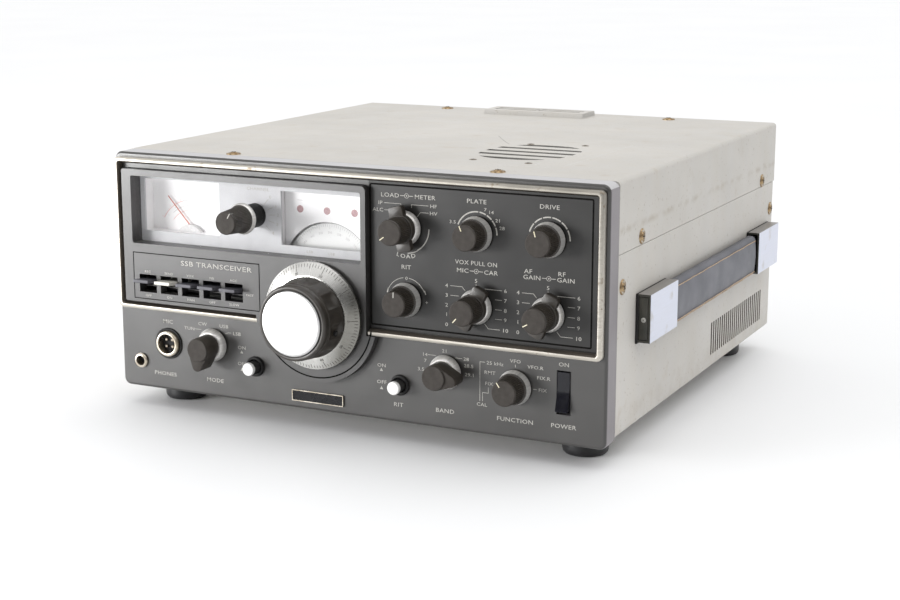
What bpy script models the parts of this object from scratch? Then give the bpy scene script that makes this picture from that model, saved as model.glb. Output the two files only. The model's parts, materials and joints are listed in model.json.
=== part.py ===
"""Table-top amateur-radio transceiver of the 1970s, as separate pieces with real joints.

Sizes are millimetres in the panel frame: x to the right as the operator sees it, y to the back
from the front face of the bezel, z up from the bezel's lower edge. The empty panel_datum turns
them into the part's own frame, in metres, with the middle of the footprint at its origin.
"""
import math

import bmesh
import bpy

MM = 0.001

# Driving dimensions
WIDTH = 333.0
HEIGHT = 152.0
CABINET_BACK = 333.0
TOP_COVER_BACK = 336.0
BEZEL_DEPTH = 14.0
COVER_BOTTOM = 3.2
SHEET = 1.5
SEAM_HEIGHT = 110.0
FOOT_HEIGHT = 13.0
HANDLE_DEPTH = 9.0
REAR_REACH = 347.0
DIAL_REACH = 33.5
GAP = 0.3
HALF = WIDTH / 2
X_MIDDLE = HANDLE_DEPTH / 2
Y_MIDDLE = (REAR_REACH - DIAL_REACH) / 2

# Main tuning dial and the disc that surrounds it
DIAL_X, DIAL_Z = -19.5, 61.6
DISC_RADIUS = 42.0
ESCUTCHEON_FACE = 5.0
DISC_SHOULDER = 52.2
ESCUTCHEON = (-158.5, 15.6, 57.5, 141.9)
CONTROL_PANEL = (15.9, 160.7, 55.8, 145.7)
FRONT_WALL = 4.5
POCKET_DEPTH = 2.3
MOULDING_OUTER = (-164.3, 164.3, 52.5, 149.0)
MOULDING_WIDTH = 3.7
WINDOW = (-151.8, 12.3, 95.1, 137.9)
MASK_DEPTH = 5.6
METER_OPENING = (-148.9, -93.0, 101.9, 135.1)
SCALE_OPENING = (-48.3, 6.5, 100.4, 133.5)
FACE_DEPTH = 15.0
SUBPANEL_Y = 31.0
SCALE_AXIS_Z = 84.0
DECK = 42.0

# Control centres, x and z
LOAD = (40.0, 118.7)
PLATE = (85.5, 118.6)
DRIVE = (130.3, 118.8)
RIT = (40.0, 75.8)
MIC = (85.5, 75.9)
GAIN = (130.3, 75.9)
MODE = (-96.2, 33.9)
BAND = (66.0, 34.9)
FUNCTION = (110.5, 31.0)
CHANNEL = (-66.5, 117.4)
CALIBRATOR = (-65.4, 23.2)
RIT_SWITCH = (35.6, 23.3)
POWER = (140.3, 31.0)
MIC_SOCKET = (-130.0, 31.0)
PHONES = (-151.6, 17.6)
BADGE = (-21.0, 8.5)
LEVER_Z = 69.8
LEVERS_X = [-140.9 + 16.0 * index for index in range(5)]
LEVER_OPENING = (13.0, 11.4)
LEVER_PIVOT_Y = 9.0
LEVER_RAISED = 7.0
ROCKER_TILT = 8.0

SHAFT_RADIUS = 3.0
SLEEVE_RADIUS = 4.4
HOLE_CLEARANCE = 0.6
FINE = 32
MEDIUM = 24
COARSE = 16

# Case details
SPEAKER = (72.0, 108.0)
GRILLE_HALF = (29.5, 36.0)
GRILLE_SLOTS = 5
GRILLE_PITCH = 15.6
GRILLE_SLOT = 6.0
HOOD = (-48.0, 31.0, 298.0, 326.0)
HOOD_RISE = 3.5
VENT = (192.5, 313.0, 12.0, 34.0)
VENT_SLOTS = 25
HANDLE = (45.0, 320.0, 53.5, 82.5)
HANDLE_CAP_LENGTH = 49.5
HANDLE_WALL = 1.6
FOOT_RADIUS = 13.9
FOOT_X = 141.0
FOOT_Y = (34.0, 300.0)
FAN = (4.0, 92.0)
FAN_RADIUS = 36.0
ANTENNA = (-112.0, 118.0)
GROUND = (-142.0, 30.0)
FUSE = (112.0, 62.0)
INLET = (112.0, 92.0)


def clear_scene():
    for obj in list(bpy.data.objects):
        bpy.data.objects.remove(obj, do_unlink=True)


def material(name, colour, roughness, metallic=0.0, alpha=1.0):
    made = bpy.data.materials.new(name)
    made.use_nodes = True
    shader = made.node_tree.nodes["Principled BSDF"]
    shader.inputs["Base Color"].default_value = (*colour, 1.0)
    shader.inputs["Roughness"].default_value = roughness
    shader.inputs["Metallic"].default_value = metallic
    shader.inputs["Alpha"].default_value = alpha
    made.diffuse_color = (*colour, 1.0)
    return made


def add_mesh(name, points, faces, at, finish):
    """One object from points in millimetres round the place at, which is in the panel frame."""
    mesh = bpy.data.meshes.new(name)
    mesh.from_pydata([tuple(value * MM for value in point) for point in points], [], faces)
    shape = bmesh.new()
    shape.from_mesh(mesh)
    bmesh.ops.recalc_face_normals(shape, faces=shape.faces)
    shape.to_mesh(mesh)
    shape.free()
    mesh.shade_smooth()
    mesh.set_sharp_from_angle(angle=math.radians(35))
    obj = bpy.data.objects.new(name, mesh)
    bpy.context.scene.collection.objects.link(obj)
    obj.parent = DATUM
    obj.location = [value * MM for value in at]
    if finish is None:
        obj.hide_render = True
        obj.display_type = "WIRE"
    else:
        mesh.materials.append(finish)
    return obj


PLANES = {
    "front": lambda a, b, depth: (a, depth, b),
    "side": lambda a, b, depth: (depth, a, b),
    "top": lambda a, b, depth: (a, b, depth),
}


def prism(name, outline, low, high, finish=None, plane="front", at=(0, 0, 0)):
    """A straight extrusion of an outline. A front outline is (x, z), a side one (y, z), a top one (x, y)."""
    lift = PLANES[plane]
    count = len(outline)
    points = [lift(a, b, low) for a, b in outline] + [lift(a, b, high) for a, b in outline]
    faces = [list(range(count)), list(range(count, 2 * count))]
    for index in range(count):
        following = (index + 1) % count
        faces.append([index, following, count + following, count + index])
    return add_mesh(name, points, faces, at, finish)


TURNS = {
    "front": lambda radius, angle, height: (
        radius * math.cos(angle), -height, radius * math.sin(angle)),
    "up": lambda radius, angle, height: (
        radius * math.cos(angle), radius * math.sin(angle), height),
}


def turned(name, profile, at, finish=None, axis="front", segments=MEDIUM):
    """A turned shape from (radius, height) points. Height runs towards the operator, or up.

    A profile that starts and ends at radius 0 is solid. Any other is a ring with an open bore."""
    place = TURNS[axis]
    solid = profile[0][0] == 0 and profile[-1][0] == 0
    loops = profile[1:-1] if solid else profile
    points = []
    for radius, height in loops:
        for step in range(segments):
            points.append(place(radius, 2 * math.pi * step / segments, height))
    faces = []
    rows = len(loops) - 1 if solid else len(loops)
    for row in range(rows):
        above = (row + 1) % len(loops)
        for step in range(segments):
            ahead = (step + 1) % segments
            faces.append([row * segments + step, row * segments + ahead,
                          above * segments + ahead, above * segments + step])
    if solid:
        faces.append([step for step in range(segments)])
        faces.append([(len(loops) - 1) * segments + step for step in range(segments)])
    return add_mesh(name, points, faces, at, finish)


def box(name, low, high, finish=None, at=(0, 0, 0)):
    outline = [(low[0], low[2]), (high[0], low[2]), (high[0], high[2]), (low[0], high[2])]
    return prism(name, outline, low[1], high[1], finish, at=at)


def boxes(name, corners):
    """Several separate blocks as one cutter."""
    points = []
    faces = []
    for low, high in corners:
        start = len(points)
        for x in (low[0], high[0]):
            for y in (low[1], high[1]):
                for z in (low[2], high[2]):
                    points.append((x, y, z))
        for face in ((0, 1, 3, 2), (4, 6, 7, 5), (0, 4, 5, 1), (2, 3, 7, 6), (0, 2, 6, 4), (1, 5, 7, 3)):
            faces.append([start + index for index in face])
    return add_mesh(name, points, faces, (0, 0, 0), None)


def drills(name, holes, low, high, segments=COARSE):
    """Several round cutters along y. Each hole is (x, z, radius)."""
    points = []
    faces = []
    for x, z, radius in holes:
        start = len(points)
        for depth in (low, high):
            for step in range(segments):
                angle = 2 * math.pi * step / segments
                points.append((x + radius * math.cos(angle), depth, z + radius * math.sin(angle)))
        faces.append([start + step for step in range(segments)])
        faces.append([start + segments + step for step in range(segments)])
        for step in range(segments):
            ahead = (step + 1) % segments
            faces.append([start + step, start + ahead, start + segments + ahead, start + segments + step])
    return add_mesh(name, points, faces, (0, 0, 0), None)


def boolean(target, other, operation):
    change = target.modifiers.new(f"{operation.lower()}_{other.name}", "BOOLEAN")
    change.operation = operation
    change.solver = "EXACT"
    change.object = other
    other.hide_render = True
    other.display_type = "WIRE"


def cut(target, *others):
    for other in others:
        boolean(target, other, "DIFFERENCE")


def join(target, *others):
    for other in others:
        boolean(target, other, "UNION")


def arc(centre, radius, start, end, steps):
    """Points on an arc, in degrees, with both ends."""
    points = []
    for step in range(steps + 1):
        angle = math.radians(start + (end - start) * step / steps)
        points.append((centre[0] + radius * math.cos(angle), centre[1] + radius * math.sin(angle)))
    return points


def rounded(low_a, high_a, low_b, high_b, radius, steps=4):
    """A rectangle with round corners, anticlockwise from its lower right corner."""
    corners = (
        (high_a - radius, low_b + radius, -90),
        (high_a - radius, high_b - radius, 0),
        (low_a + radius, high_b - radius, 90),
        (low_a + radius, low_b + radius, 180),
    )
    outline = []
    for a, b, start in corners:
        outline += arc((a, b), radius, start, start + 90, steps)
    return outline


def front_bezel(finish):
    """Cast front frame: the lower control panel, and the pocket that holds the upper two plates."""
    bezel = prism("front_bezel", rounded(-HALF, HALF, 0, HEIGHT, 4.5), 0, BEZEL_DEPTH, finish)
    hollow = prism("bezel_hollow", rounded(4 - HALF, HALF - 4, 4, HEIGHT - 4, 2),
                   FRONT_WALL, BEZEL_DEPTH + 1)
    left_pocket = prism("escutcheon_pocket", escutcheon_outline(GAP), -1, POCKET_DEPTH)
    left, right, low, high = CONTROL_PANEL
    right_pocket = prism("panel_pocket", rounded(left - GAP, right + GAP, low - GAP, high + GAP, 1.2),
                         -1, POCKET_DEPTH)
    through = boxes("bezel_windows", [
        ((-155.8, -1, 91.0), (15.2, 6, 141.6)),
        ((LEVERS_X[0] - 8, -1, LEVER_Z - 8), (LEVERS_X[-1] + 8, 6, LEVER_Z + 8)),
        ((POWER[0] - 4.3, -1, POWER[1] - 13), (POWER[0] + 4.3, 6, POWER[1] + 13)),
    ])
    thin = SHAFT_RADIUS + HOLE_CLEARANCE
    wide = SLEEVE_RADIUS + HOLE_CLEARANCE
    holes = [(*MODE, thin), (*BAND, thin), (*FUNCTION, thin), (*PLATE, thin), (*DRIVE, thin), (*RIT, thin),
             (*LOAD, wide), (*MIC, wide), (*GAIN, wide), (DIAL_X, DIAL_Z, 8.5), (*CALIBRATOR, 4.8),
             (*RIT_SWITCH, 4.8), (*MIC_SOCKET, 9.2), (*PHONES, 4.4)]
    cut(bezel, hollow, left_pocket, right_pocket, through, drills("bezel_holes", holes, -1, 6))
    return bezel


def escutcheon_outline(grow=0.0):
    """The window plate and the round field below it as one outline, grown all round for its pocket."""
    left, right, low, high = ESCUTCHEON
    radius = DISC_RADIUS + grow
    shoulder = DISC_SHOULDER + grow
    start = math.degrees(math.asin((low - grow - DIAL_Z) / radius))
    end = math.degrees(math.asin((shoulder - DIAL_Z) / radius))
    outline = arc((DIAL_X, DIAL_Z), radius, 180 - start, 360 + end, 36)
    outline += [(right + grow, shoulder)]
    outline += arc((right + grow - 3, high + grow - 3), 3, 0, 90, 4)
    outline += arc((left - grow + 1.2, high + grow - 1.2), 1.2, 90, 180, 2)
    outline += arc((left - grow + 1.2, low - grow + 1.2), 1.2, 180, 270, 2)
    return outline


def dial_escutcheon(finish):
    """Raised plate with the window frame, the lever switches' openings and the disc round the dial."""
    plate = prism("dial_escutcheon", escutcheon_outline(), -ESCUTCHEON_FACE, 1.7, finish)
    frame = prism("window_frame", rounded(-154.4, 14.2, 92.0, 141.0, 1.2, 2), 1.0, MASK_DEPTH - GAP)
    bush = turned("dial_bush", [(0, -11), (8.0, -11), (8.0, -1), (0, -1)], (DIAL_X, 0, DIAL_Z))
    join(plate, frame, bush)
    window = prism("window_cut", rounded(*WINDOW, 1.2, 2), -ESCUTCHEON_FACE - 1, MASK_DEPTH + 1)
    bore = turned("dial_bore", [(0, -14), (4.8, -14), (4.8, 8), (0, 8)], (DIAL_X, 0, DIAL_Z))
    wide, tall = LEVER_OPENING
    slots = [((x - wide / 2, -ESCUTCHEON_FACE - 1, LEVER_Z - tall / 2),
              (x + wide / 2, 3, LEVER_Z + tall / 2)) for x in LEVERS_X]
    cut(plate, window, bore, boxes("lever_cut", slots))
    return plate


def trim_moulding(finish):
    """Bevelled bright moulding round the upper field, open where the dial's disc interrupts it."""
    left, right, low, high = MOULDING_OUTER
    gap_left, gap_right = DIAL_X - DISC_RADIUS - 0.2, ESCUTCHEON[1] + 1.2
    outer = [(gap_right, low)] + rounded(left, right, low, high, 3.0) + [(gap_left, low)]
    inset = MOULDING_WIDTH
    inner = [(gap_right, low + inset)]
    inner += rounded(left + inset, right - inset, low + inset, high - inset, 1.0)
    inner += [(gap_left, low + inset)]
    back, outer_face, inner_face = -GAP, -3.0, -5.0
    points = []
    for (xo, zo), (xi, zi) in zip(outer, inner):
        points += [(xo, back, zo), (xo, outer_face, zo), (xi, inner_face, zi), (xi, back, zi)]
    faces = [[0, 1, 2, 3], [len(points) - 4 + index for index in range(4)]]
    for station in range(len(outer) - 1):
        for side in range(4):
            ahead = (side + 1) % 4
            faces.append([4 * station + side, 4 * station + ahead,
                          4 * station + 4 + ahead, 4 * station + 4 + side])
    return add_mesh("trim_moulding", points, faces, (0, 0, 0), finish)


def control_panel(finish):
    """Flat plate on the right that carries the six upper controls."""
    plate = prism("control_panel", rounded(*CONTROL_PANEL, 1.0, 2), 0, POCKET_DEPTH - GAP, finish)
    radius = SHAFT_RADIUS + HOLE_CLEARANCE
    wide = SLEEVE_RADIUS + HOLE_CLEARANCE
    holes = [(*LOAD, wide), (*PLATE, radius), (*DRIVE, radius), (*RIT, radius), (*MIC, wide), (*GAIN, wide)]
    cut(plate, drills("panel_holes", holes, -1, 3))
    return plate


def window_parts(clear, grey, white, red):
    """Clear pane, grey mask, meter with its needle, and the geared tuning scale."""
    left, right, low, high = WINDOW
    pane = prism("window_pane", rounded(left + GAP, right - GAP, low + GAP, high - GAP, 1.0, 2),
                 -1.5, -0.1, clear)
    cut(pane, drills("pane_hole", [(*CHANNEL, 9.0)], -3, 3, MEDIUM))

    mask = prism("window_mask", rounded(left - 1.5, right + 1.5, low - 1.5, high + 1.5, 1.0, 2),
                 MASK_DEPTH, MASK_DEPTH + 1.5, grey)
    bush = turned("channel_bush", [(0, -MASK_DEPTH - 0.7), (7.4, -MASK_DEPTH - 0.7), (7.4, 8.6), (0, 8.6)],
                  (CHANNEL[0], 0, CHANNEL[1]))
    join(mask, bush)
    openings = [((a, MASK_DEPTH - 1, c), (b, MASK_DEPTH + 3, d))
                for a, b, c, d in (METER_OPENING, SCALE_OPENING)]
    cut(mask, boxes("mask_openings", openings),
        drills("channel_hole", [(*CHANNEL, SHAFT_RADIUS + HOLE_CLEARANCE)], -11, 9))

    a, b, c, d = METER_OPENING
    front = MASK_DEPTH + 1.5 + GAP
    meter = box("signal_meter", (a - 2, front, c - 2), (b + 2, 29.0, d + 2), white)
    cut(meter, box("meter_hollow", (a - 0.2, front - 1, c - 0.2), (b + 0.2, FACE_DEPTH, d + 0.2)))

    a, b, c, d = SCALE_OPENING
    housing = box("scale_housing", (a - 3.2, front, 98.0), (b + 3.3, 19.5, d + 3), grey)
    cut(housing, box("scale_hollow", (a - 1.7, front - 1, 97.0), (b + 1.8, 18.0, d + 1.5)))

    pivot = (-119.0, 13.4, 104.2)
    outline = [(-1.6, -1.6), (1.6, -1.6), (1.6, 1.6), (0.45, 2.6), (0.3, 26.5), (-0.3, 26.5),
               (-0.45, 2.6), (-1.6, 1.6)]
    tilt = math.radians(42)
    swung = [(x * math.cos(tilt) - z * math.sin(tilt), x * math.sin(tilt) + z * math.cos(tilt))
             for x, z in outline]
    prism("meter_needle", swung, -0.4, 0.4, red, at=pivot)

    at = (DIAL_X, 0, SCALE_AXIS_Z)
    back, face = -FACE_DEPTH - 1.2, -FACE_DEPTH + 0.4
    disc = [(0, -SUBPANEL_Y - 6), (2.4, -SUBPANEL_Y - 6), (2.4, back), (30.5, back), (30.5, face), (0, face)]
    turned("vfo_scale_disc", disc, at, white, segments=FINE)


def knob_profile(reach, front_radius, shaft=SHAFT_RADIUS, skirt=10.3, base=1.2, shaft_end=SUBPANEL_Y + 6):
    """A plain knob: shaft, flat bright skirt and a slightly tapering grip with a small front bevel."""
    return [(0, -shaft_end), (shaft, -shaft_end), (shaft, base), (skirt, base), (skirt, base + 2),
            (front_radius + 1.0, base + 2), (front_radius, reach - 0.6), (front_radius - 0.6, reach),
            (0, reach)]


def plain_knob(name, centre, reach, finish, front_radius=7.65, skirt=10.3, base=1.2):
    profile = knob_profile(reach, front_radius, skirt=skirt, base=base)
    return turned(name, profile, (centre[0], 0, centre[1]), finish)


def pointer_knob(name, centre, reach, pointing, finish):
    """A knob whose grip runs out into one pointer wing; pointing is its angle in degrees."""
    start = math.radians(pointing)
    grip_radius, tip_radius, length = 7.6, 2.2, 13.9
    tangent = math.degrees(math.acos((grip_radius - tip_radius) / (length - tip_radius)))
    outline = arc((0, 0), grip_radius, tangent, 360 - tangent, 18)
    outline += arc((length - tip_radius, 0), tip_radius, -tangent, tangent, 5)
    turned_outline = [(x * math.cos(start) - z * math.sin(start), x * math.sin(start) + z * math.cos(start))
                      for x, z in outline]
    at = (centre[0], 0, centre[1])
    stem = [(0, -SUBPANEL_Y - 6), (SHAFT_RADIUS, -SUBPANEL_Y - 6), (SHAFT_RADIUS, 1.2), (10.4, 1.2),
            (10.4, 3.2), (7.2, 3.2), (7.2, reach - 2), (6.9, reach), (0, reach)]
    knob = turned(name, stem, at, finish)
    join(knob, prism(f"{name}_grip", turned_outline, -reach + 1.0, -4.4, at=at))
    return knob


def lever_ring(name, centre, pointing, finish):
    """The rear control of a concentric pair: a sleeve, a bright skirt and a hub with two wings."""
    at = (centre[0], 0, centre[1])
    bore = 3.2
    deep = -SUBPANEL_Y - 9
    sleeve = [(bore, -SUBPANEL_Y - 2), (SLEEVE_RADIUS, -SUBPANEL_Y - 2), (SLEEVE_RADIUS, 1.2), (10.3, 1.2),
              (10.3, 3.2), (8.6, 3.2), (8.6, 9.2), (bore, 9.2)]
    ring = turned(name, sleeve, at, finish)
    half_width, wing, nose = 4.6, 13.6, 1.8
    angle = math.radians(pointing)
    corners = [(wing, -half_width + nose), (wing, half_width - nose), (wing - nose, half_width),
               (-wing + nose, half_width), (-wing, half_width - nose), (-wing, -half_width + nose),
               (-wing + nose, -half_width), (wing - nose, -half_width)]
    outline = [(x * math.cos(angle) - z * math.sin(angle), x * math.sin(angle) + z * math.cos(angle))
               for x, z in corners]
    join(ring, prism(f"{name}_wings", outline, -8.6, -3.9, at=at))
    cut(ring, turned(f"{name}_bore", [(0, deep), (bore, deep), (bore, 12), (0, 12)], at))
    return ring


def concentric_front_knob(name, centre, finish, shaft_end=SUBPANEL_Y + 9):
    """The front control of a concentric pair, on the thin shaft inside the lever's sleeve."""
    shaft = 2.6
    profile = [(0, -shaft_end), (shaft, -shaft_end), (shaft, 9.6), (8.0, 9.6), (7.6, 20.9), (7.0, 21.5),
               (0, 21.5)]
    return turned(name, profile, (centre[0], 0, centre[1]), finish)


def tuning_dial(silver, black, bright):
    """Graduated skirt, finger grip and spun cap of the main dial, on one shaft."""
    at = (DIAL_X, 0, DIAL_Z)
    skirt = [(5.6, 5.9), (33.0, 5.9), (33.0, 8.6), (25.4, 12.6), (5.6, 12.6)]
    turned("tuning_skirt", skirt, at, silver, segments=48)
    grip = [(0, -12.6), (4.2, -12.6), (4.2, 8.0), (5.2, 8.0), (5.2, 12.9), (24.8, 12.9),
            (22.9, 30.8), (22.0, 32.4), (20.2, 32.4), (20.2, 30.8), (0, 30.8)]
    turned("tuning_knob", grip, at, black, segments=FINE)
    cap = [(0, 31.1), (19.7, 31.1), (19.7, 33.0), (18.9, DIAL_REACH), (0, DIAL_REACH)]
    turned("tuning_cap", cap, at, bright, segments=FINE)


def concentric_pairs(finish):
    lever_ring("meter_lever", LOAD, 104, finish)
    concentric_front_knob("load_knob", LOAD, finish)
    lever_ring("carrier_lever", MIC, 63, finish)
    lever_ring("rf_gain_lever", GAIN, 66, finish)
    concentric_front_knob("audio_gain_knob", GAIN, finish)

    # The microphone gain pulls out for its switch, so its shaft is a piece of its own.
    at = (MIC[0], 0, MIC[1])
    turned("mic_shaft", [(0, -SUBPANEL_Y - 14), (2.6, -SUBPANEL_Y - 14), (2.6, 14.0), (0, 14.0)], at, SHAFT)
    grip = [(0, 14.3), (2.9, 14.3), (2.9, 9.6), (8.0, 9.6), (7.6, 20.9), (7.0, 21.5), (0, 21.5)]
    turned("mic_knob", grip, at, finish)


def knobs(finish):
    plain_knob("plate_knob", PLATE, 17.5, finish)
    plain_knob("drive_knob", DRIVE, 17.5, finish)
    plain_knob("rit_knob", RIT, 17.0, finish)
    plain_knob("function_knob", FUNCTION, 17.5, finish)
    plain_knob("channel_knob", CHANNEL, 28.6, finish, front_radius=7.05, skirt=9.7, base=9.0)
    pointer_knob("mode_knob", MODE, 19.0, 264, finish)
    pointer_knob("band_knob", BAND, 18.0, -6, finish)


def push_button(name, centre, finish):
    profile = [(0, -14), (4.0, -14), (4.0, 9.0), (3.6, 9.6), (0, 9.6)]
    turned(name, profile, (centre[0], 0, centre[1]), finish, segments=COARSE)


def lever_switch(name, x, finish):
    """Flat paddle on a rocker behind the escutcheon, drawn in its raised position."""
    at = (x, LEVER_PIVOT_Y, LEVER_Z)
    half_width = 5.7
    lean = math.radians(LEVER_RAISED)
    outline = [(-22.4, -1.0), (-22.4, 1.0), (-5.2, 1.3), (-3.4, 3.2), (0, 4.0), (3.6, 2.6), (3.6, -2.6),
               (0, -4.0), (-3.4, -3.2), (-5.2, -1.3)]
    raised = [(y * math.cos(lean) + z * math.sin(lean), -y * math.sin(lean) + z * math.cos(lean))
              for y, z in outline]
    return prism(name, raised, -half_width, half_width, finish, plane="side", at=at)


def power_rocker(finish):
    """Concave rocker, tilted so that its upper end is the pressed one."""
    at = (POWER[0], 4.0, POWER[1])
    lean = math.radians(ROCKER_TILT)
    outline = [(-6.3, 11.7), (-5.2, 5.5), (-4.8, 0), (-5.2, -5.5), (-6.3, -11.7), (5.0, -9.0), (7.0, 0),
               (5.0, 9.0)]
    tilted = [(y * math.cos(lean) + z * math.sin(lean), z * math.cos(lean) - y * math.sin(lean))
              for y, z in outline]
    return prism("power_rocker", tilted, -3.9, 3.9, finish, plane="side", at=at)


def sockets(nickel, black):
    """Microphone socket, headphone jack and the name badge's blank plate."""
    barrel = [(0, -12), (8.6, -12), (8.6, 0.3), (10.0, 0.3), (10.0, 1.0), (8.4, 1.0), (8.4, 2.6), (7.2, 3.4),
              (6.2, 3.4), (6.2, -2.6), (0, -2.6)]
    turned("mic_socket", barrel, (MIC_SOCKET[0], 0, MIC_SOCKET[1]), nickel)
    jack = [(3.1, -18), (3.7, -18), (3.7, 0.3), (4.8, 0.3), (4.8, 1.6), (4.2, 2.0), (3.1, 2.0)]
    turned("phones_jack", jack, (PHONES[0], 0, PHONES[1]), nickel, segments=COARSE)
    prism("badge_plate", rounded(BADGE[0] - 18, BADGE[0] + 18, BADGE[1] - 3.5, BADGE[1] + 3.5, 0.5, 2),
          -1.2, -GAP, black)


def u_outline(outside, low, high, radius, upwards):
    """A U of sheet metal seen from the front, open towards the seam between the two covers."""
    inside = outside - SHEET
    if upwards:
        outer = [(outside, high)] + arc((outside - radius, low + radius), radius, 0, -90, 4)
        outer += arc((radius - outside, low + radius), radius, -90, -180, 4) + [(-outside, high)]
        return outer + [(-inside, high), (-inside, low + SHEET), (inside, low + SHEET), (inside, high)]
    outer = [(outside, low)] + arc((outside - radius, high - radius), radius, 0, 90, 4)
    outer += arc((radius - outside, high - radius), radius, 90, 180, 4) + [(-outside, low)]
    return outer + [(-inside, low), (-inside, high - SHEET), (inside, high - SHEET), (inside, low)]


def grille_outline(low, high):
    """One slot of the speaker grille: the part of a rounded field between two lines along x."""
    half_x, half_y = GRILLE_HALF
    power = 2.6
    steps = 5
    heights = [low + (high - low) * step / steps for step in range(steps + 1)]
    reach = [half_x * max(0.0, 1 - abs(y / half_y) ** power) ** (1 / power) for y in heights]
    right = [(SPEAKER[0] + x, SPEAKER[1] + y) for x, y in zip(reach, heights) if x > 0.5]
    left = [(SPEAKER[0] - x, SPEAKER[1] + y) for x, y in zip(reach, heights) if x > 0.5]
    return right + left[::-1]


def top_cover(finish):
    """Upper half of the case with the speaker grille and the raised vent over the output stage."""
    cover = prism("top_cover", u_outline(HALF, SEAM_HEIGHT + GAP, HEIGHT, 2.5, False),
                  BEZEL_DEPTH + GAP, TOP_COVER_BACK, finish)
    left, right, near, far = HOOD
    slope = 2.0
    skirt = HEIGHT - 0.8
    hood_outline = [(near, skirt), (near + slope, HEIGHT + HOOD_RISE), (far - slope, HEIGHT + HOOD_RISE),
                    (far, skirt)]
    join(cover, prism("vent_hood", hood_outline, left, right, plane="side"))
    under = [(near + 3, HEIGHT - 3), (near + 3.6, HEIGHT + HOOD_RISE - 1.2),
             (far - 3.6, HEIGHT + HOOD_RISE - 1.2), (far - 3, HEIGHT - 3)]
    cut(cover, prism("hood_hollow", under, left + 1.5, right - 1.5, plane="side"))
    middle = (GRILLE_SLOTS - 1) / 2
    for index in range(GRILLE_SLOTS):
        low = (index - middle) * GRILLE_PITCH - GRILLE_SLOT / 2
        high = low + GRILLE_SLOT
        if index == 0:
            low -= 1.5
        if index == GRILLE_SLOTS - 1:
            high += 1.5
        slot = prism(f"grille_slot_{index}", grille_outline(low, high), HEIGHT - 4, HEIGHT + 1, plane="top")
        cut(cover, slot)
    rows = 2
    pitch = (far - near - 12) / rows
    slots = []
    for row in range(rows):
        y = near + 6 + pitch * (row + 0.5)
        for x in (left + 22, right - 22):
            slots.append(((x - 17, y - 2, HEIGHT - 1), (x + 17, y + 2, HEIGHT + 5)))
    cut(cover, boxes("hood_slots", slots))
    return cover


def bottom_cover(finish):
    """Lower half of the case with the vertical vent slots in both sides."""
    cover = prism("bottom_cover", u_outline(HALF, COVER_BOTTOM, SEAM_HEIGHT, 2.5, True),
                  BEZEL_DEPTH + GAP, CABINET_BACK, finish)
    start, end, low, high = VENT
    pitch = (end - start) / VENT_SLOTS
    slots = []
    for side in (-1, 1):
        inner, outer = sorted((side * (HALF - 4), side * (HALF + 2)))
        for index in range(VENT_SLOTS):
            y = start + pitch * (index + 0.5)
            slots.append(((inner, y - 1.2, low), (outer, y + 1.2, high)))
    cut(cover, boxes("vent_slots", slots))
    return cover


def rear_panel(finish):
    """Back plate with the fan opening and the holes for its sockets."""
    front = CABINET_BACK - 3.0
    inside = HALF - SHEET - GAP
    panel = box("rear_panel", (-inside, front, COVER_BOTTOM + SHEET + GAP),
                (inside, front + SHEET, HEIGHT - SHEET - GAP), finish)
    rows = 9
    pitch = 2 * FAN_RADIUS / rows
    slots = []
    for row in range(rows):
        z = (row - (rows - 1) / 2) * pitch
        reach = math.sqrt(FAN_RADIUS ** 2 - z ** 2)
        slots.append(((FAN[0] - reach, front - 2, FAN[1] + z - 2.4),
                      (FAN[0] + reach, front + 4, FAN[1] + z + 2.4)))
    holes = [(ANTENNA[0], ANTENNA[1], 6.4), (FUSE[0], FUSE[1], 6.4), (GROUND[0], GROUND[1], 2.4)]
    inlet = box("inlet_hole", (INLET[0] - 15.3, front - 2, INLET[1] - 9.3),
                (INLET[0] + 15.3, front + 4, INLET[1] + 9.3))
    cut(panel, boxes("fan_slots", slots), drills("rear_holes", holes, front - 2, front + 4), inlet)
    return panel


def rear_fittings(nickel, black):
    """Aerial socket, earth post, fuse holder and power inlet on the back plate."""
    face = CABINET_BACK - 3.0 + SHEET
    reach = REAR_REACH - face
    antenna = [(0, 10), (6.0, 10), (6.0, -GAP), (9.0, -GAP), (9.0, -2.5), (7.8, -2.5), (7.8, -reach),
               (5.8, -reach), (5.8, 9 - reach), (0, 9 - reach)]
    turned("antenna_socket", antenna, (ANTENNA[0], face, ANTENNA[1]), nickel)
    post = [(0, 8), (2.0, 8), (2.0, -GAP), (5.0, -GAP), (5.0, -2), (2.0, -2), (2.0, -5), (4.4, -5),
            (4.4, -10), (0, -10)]
    turned("ground_post", post, (GROUND[0], face, GROUND[1]), nickel, segments=COARSE)
    fuse = [(0, 22), (6.0, 22), (6.0, -GAP), (8.0, -GAP), (8.0, -2.5), (6.2, -2.5), (5.6, -11), (0, -11)]
    turned("fuse_holder", fuse, (FUSE[0], face, FUSE[1]), black, segments=COARSE)
    at = (INLET[0], face, INLET[1])
    inlet = box("power_inlet", (-14.6, -14, -8.6), (14.6, 1, 8.6), black, at)
    join(inlet, box("inlet_flange", (-20, GAP, -12), (20, 2.4, 12), at=at),
         box("inlet_shroud", (-14, 1, -8), (14, 8, 8), at=at))
    cut(inlet, box("inlet_hollow", (-12.6, -3, -6.6), (12.6, 12, 6.6), at=at))


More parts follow.
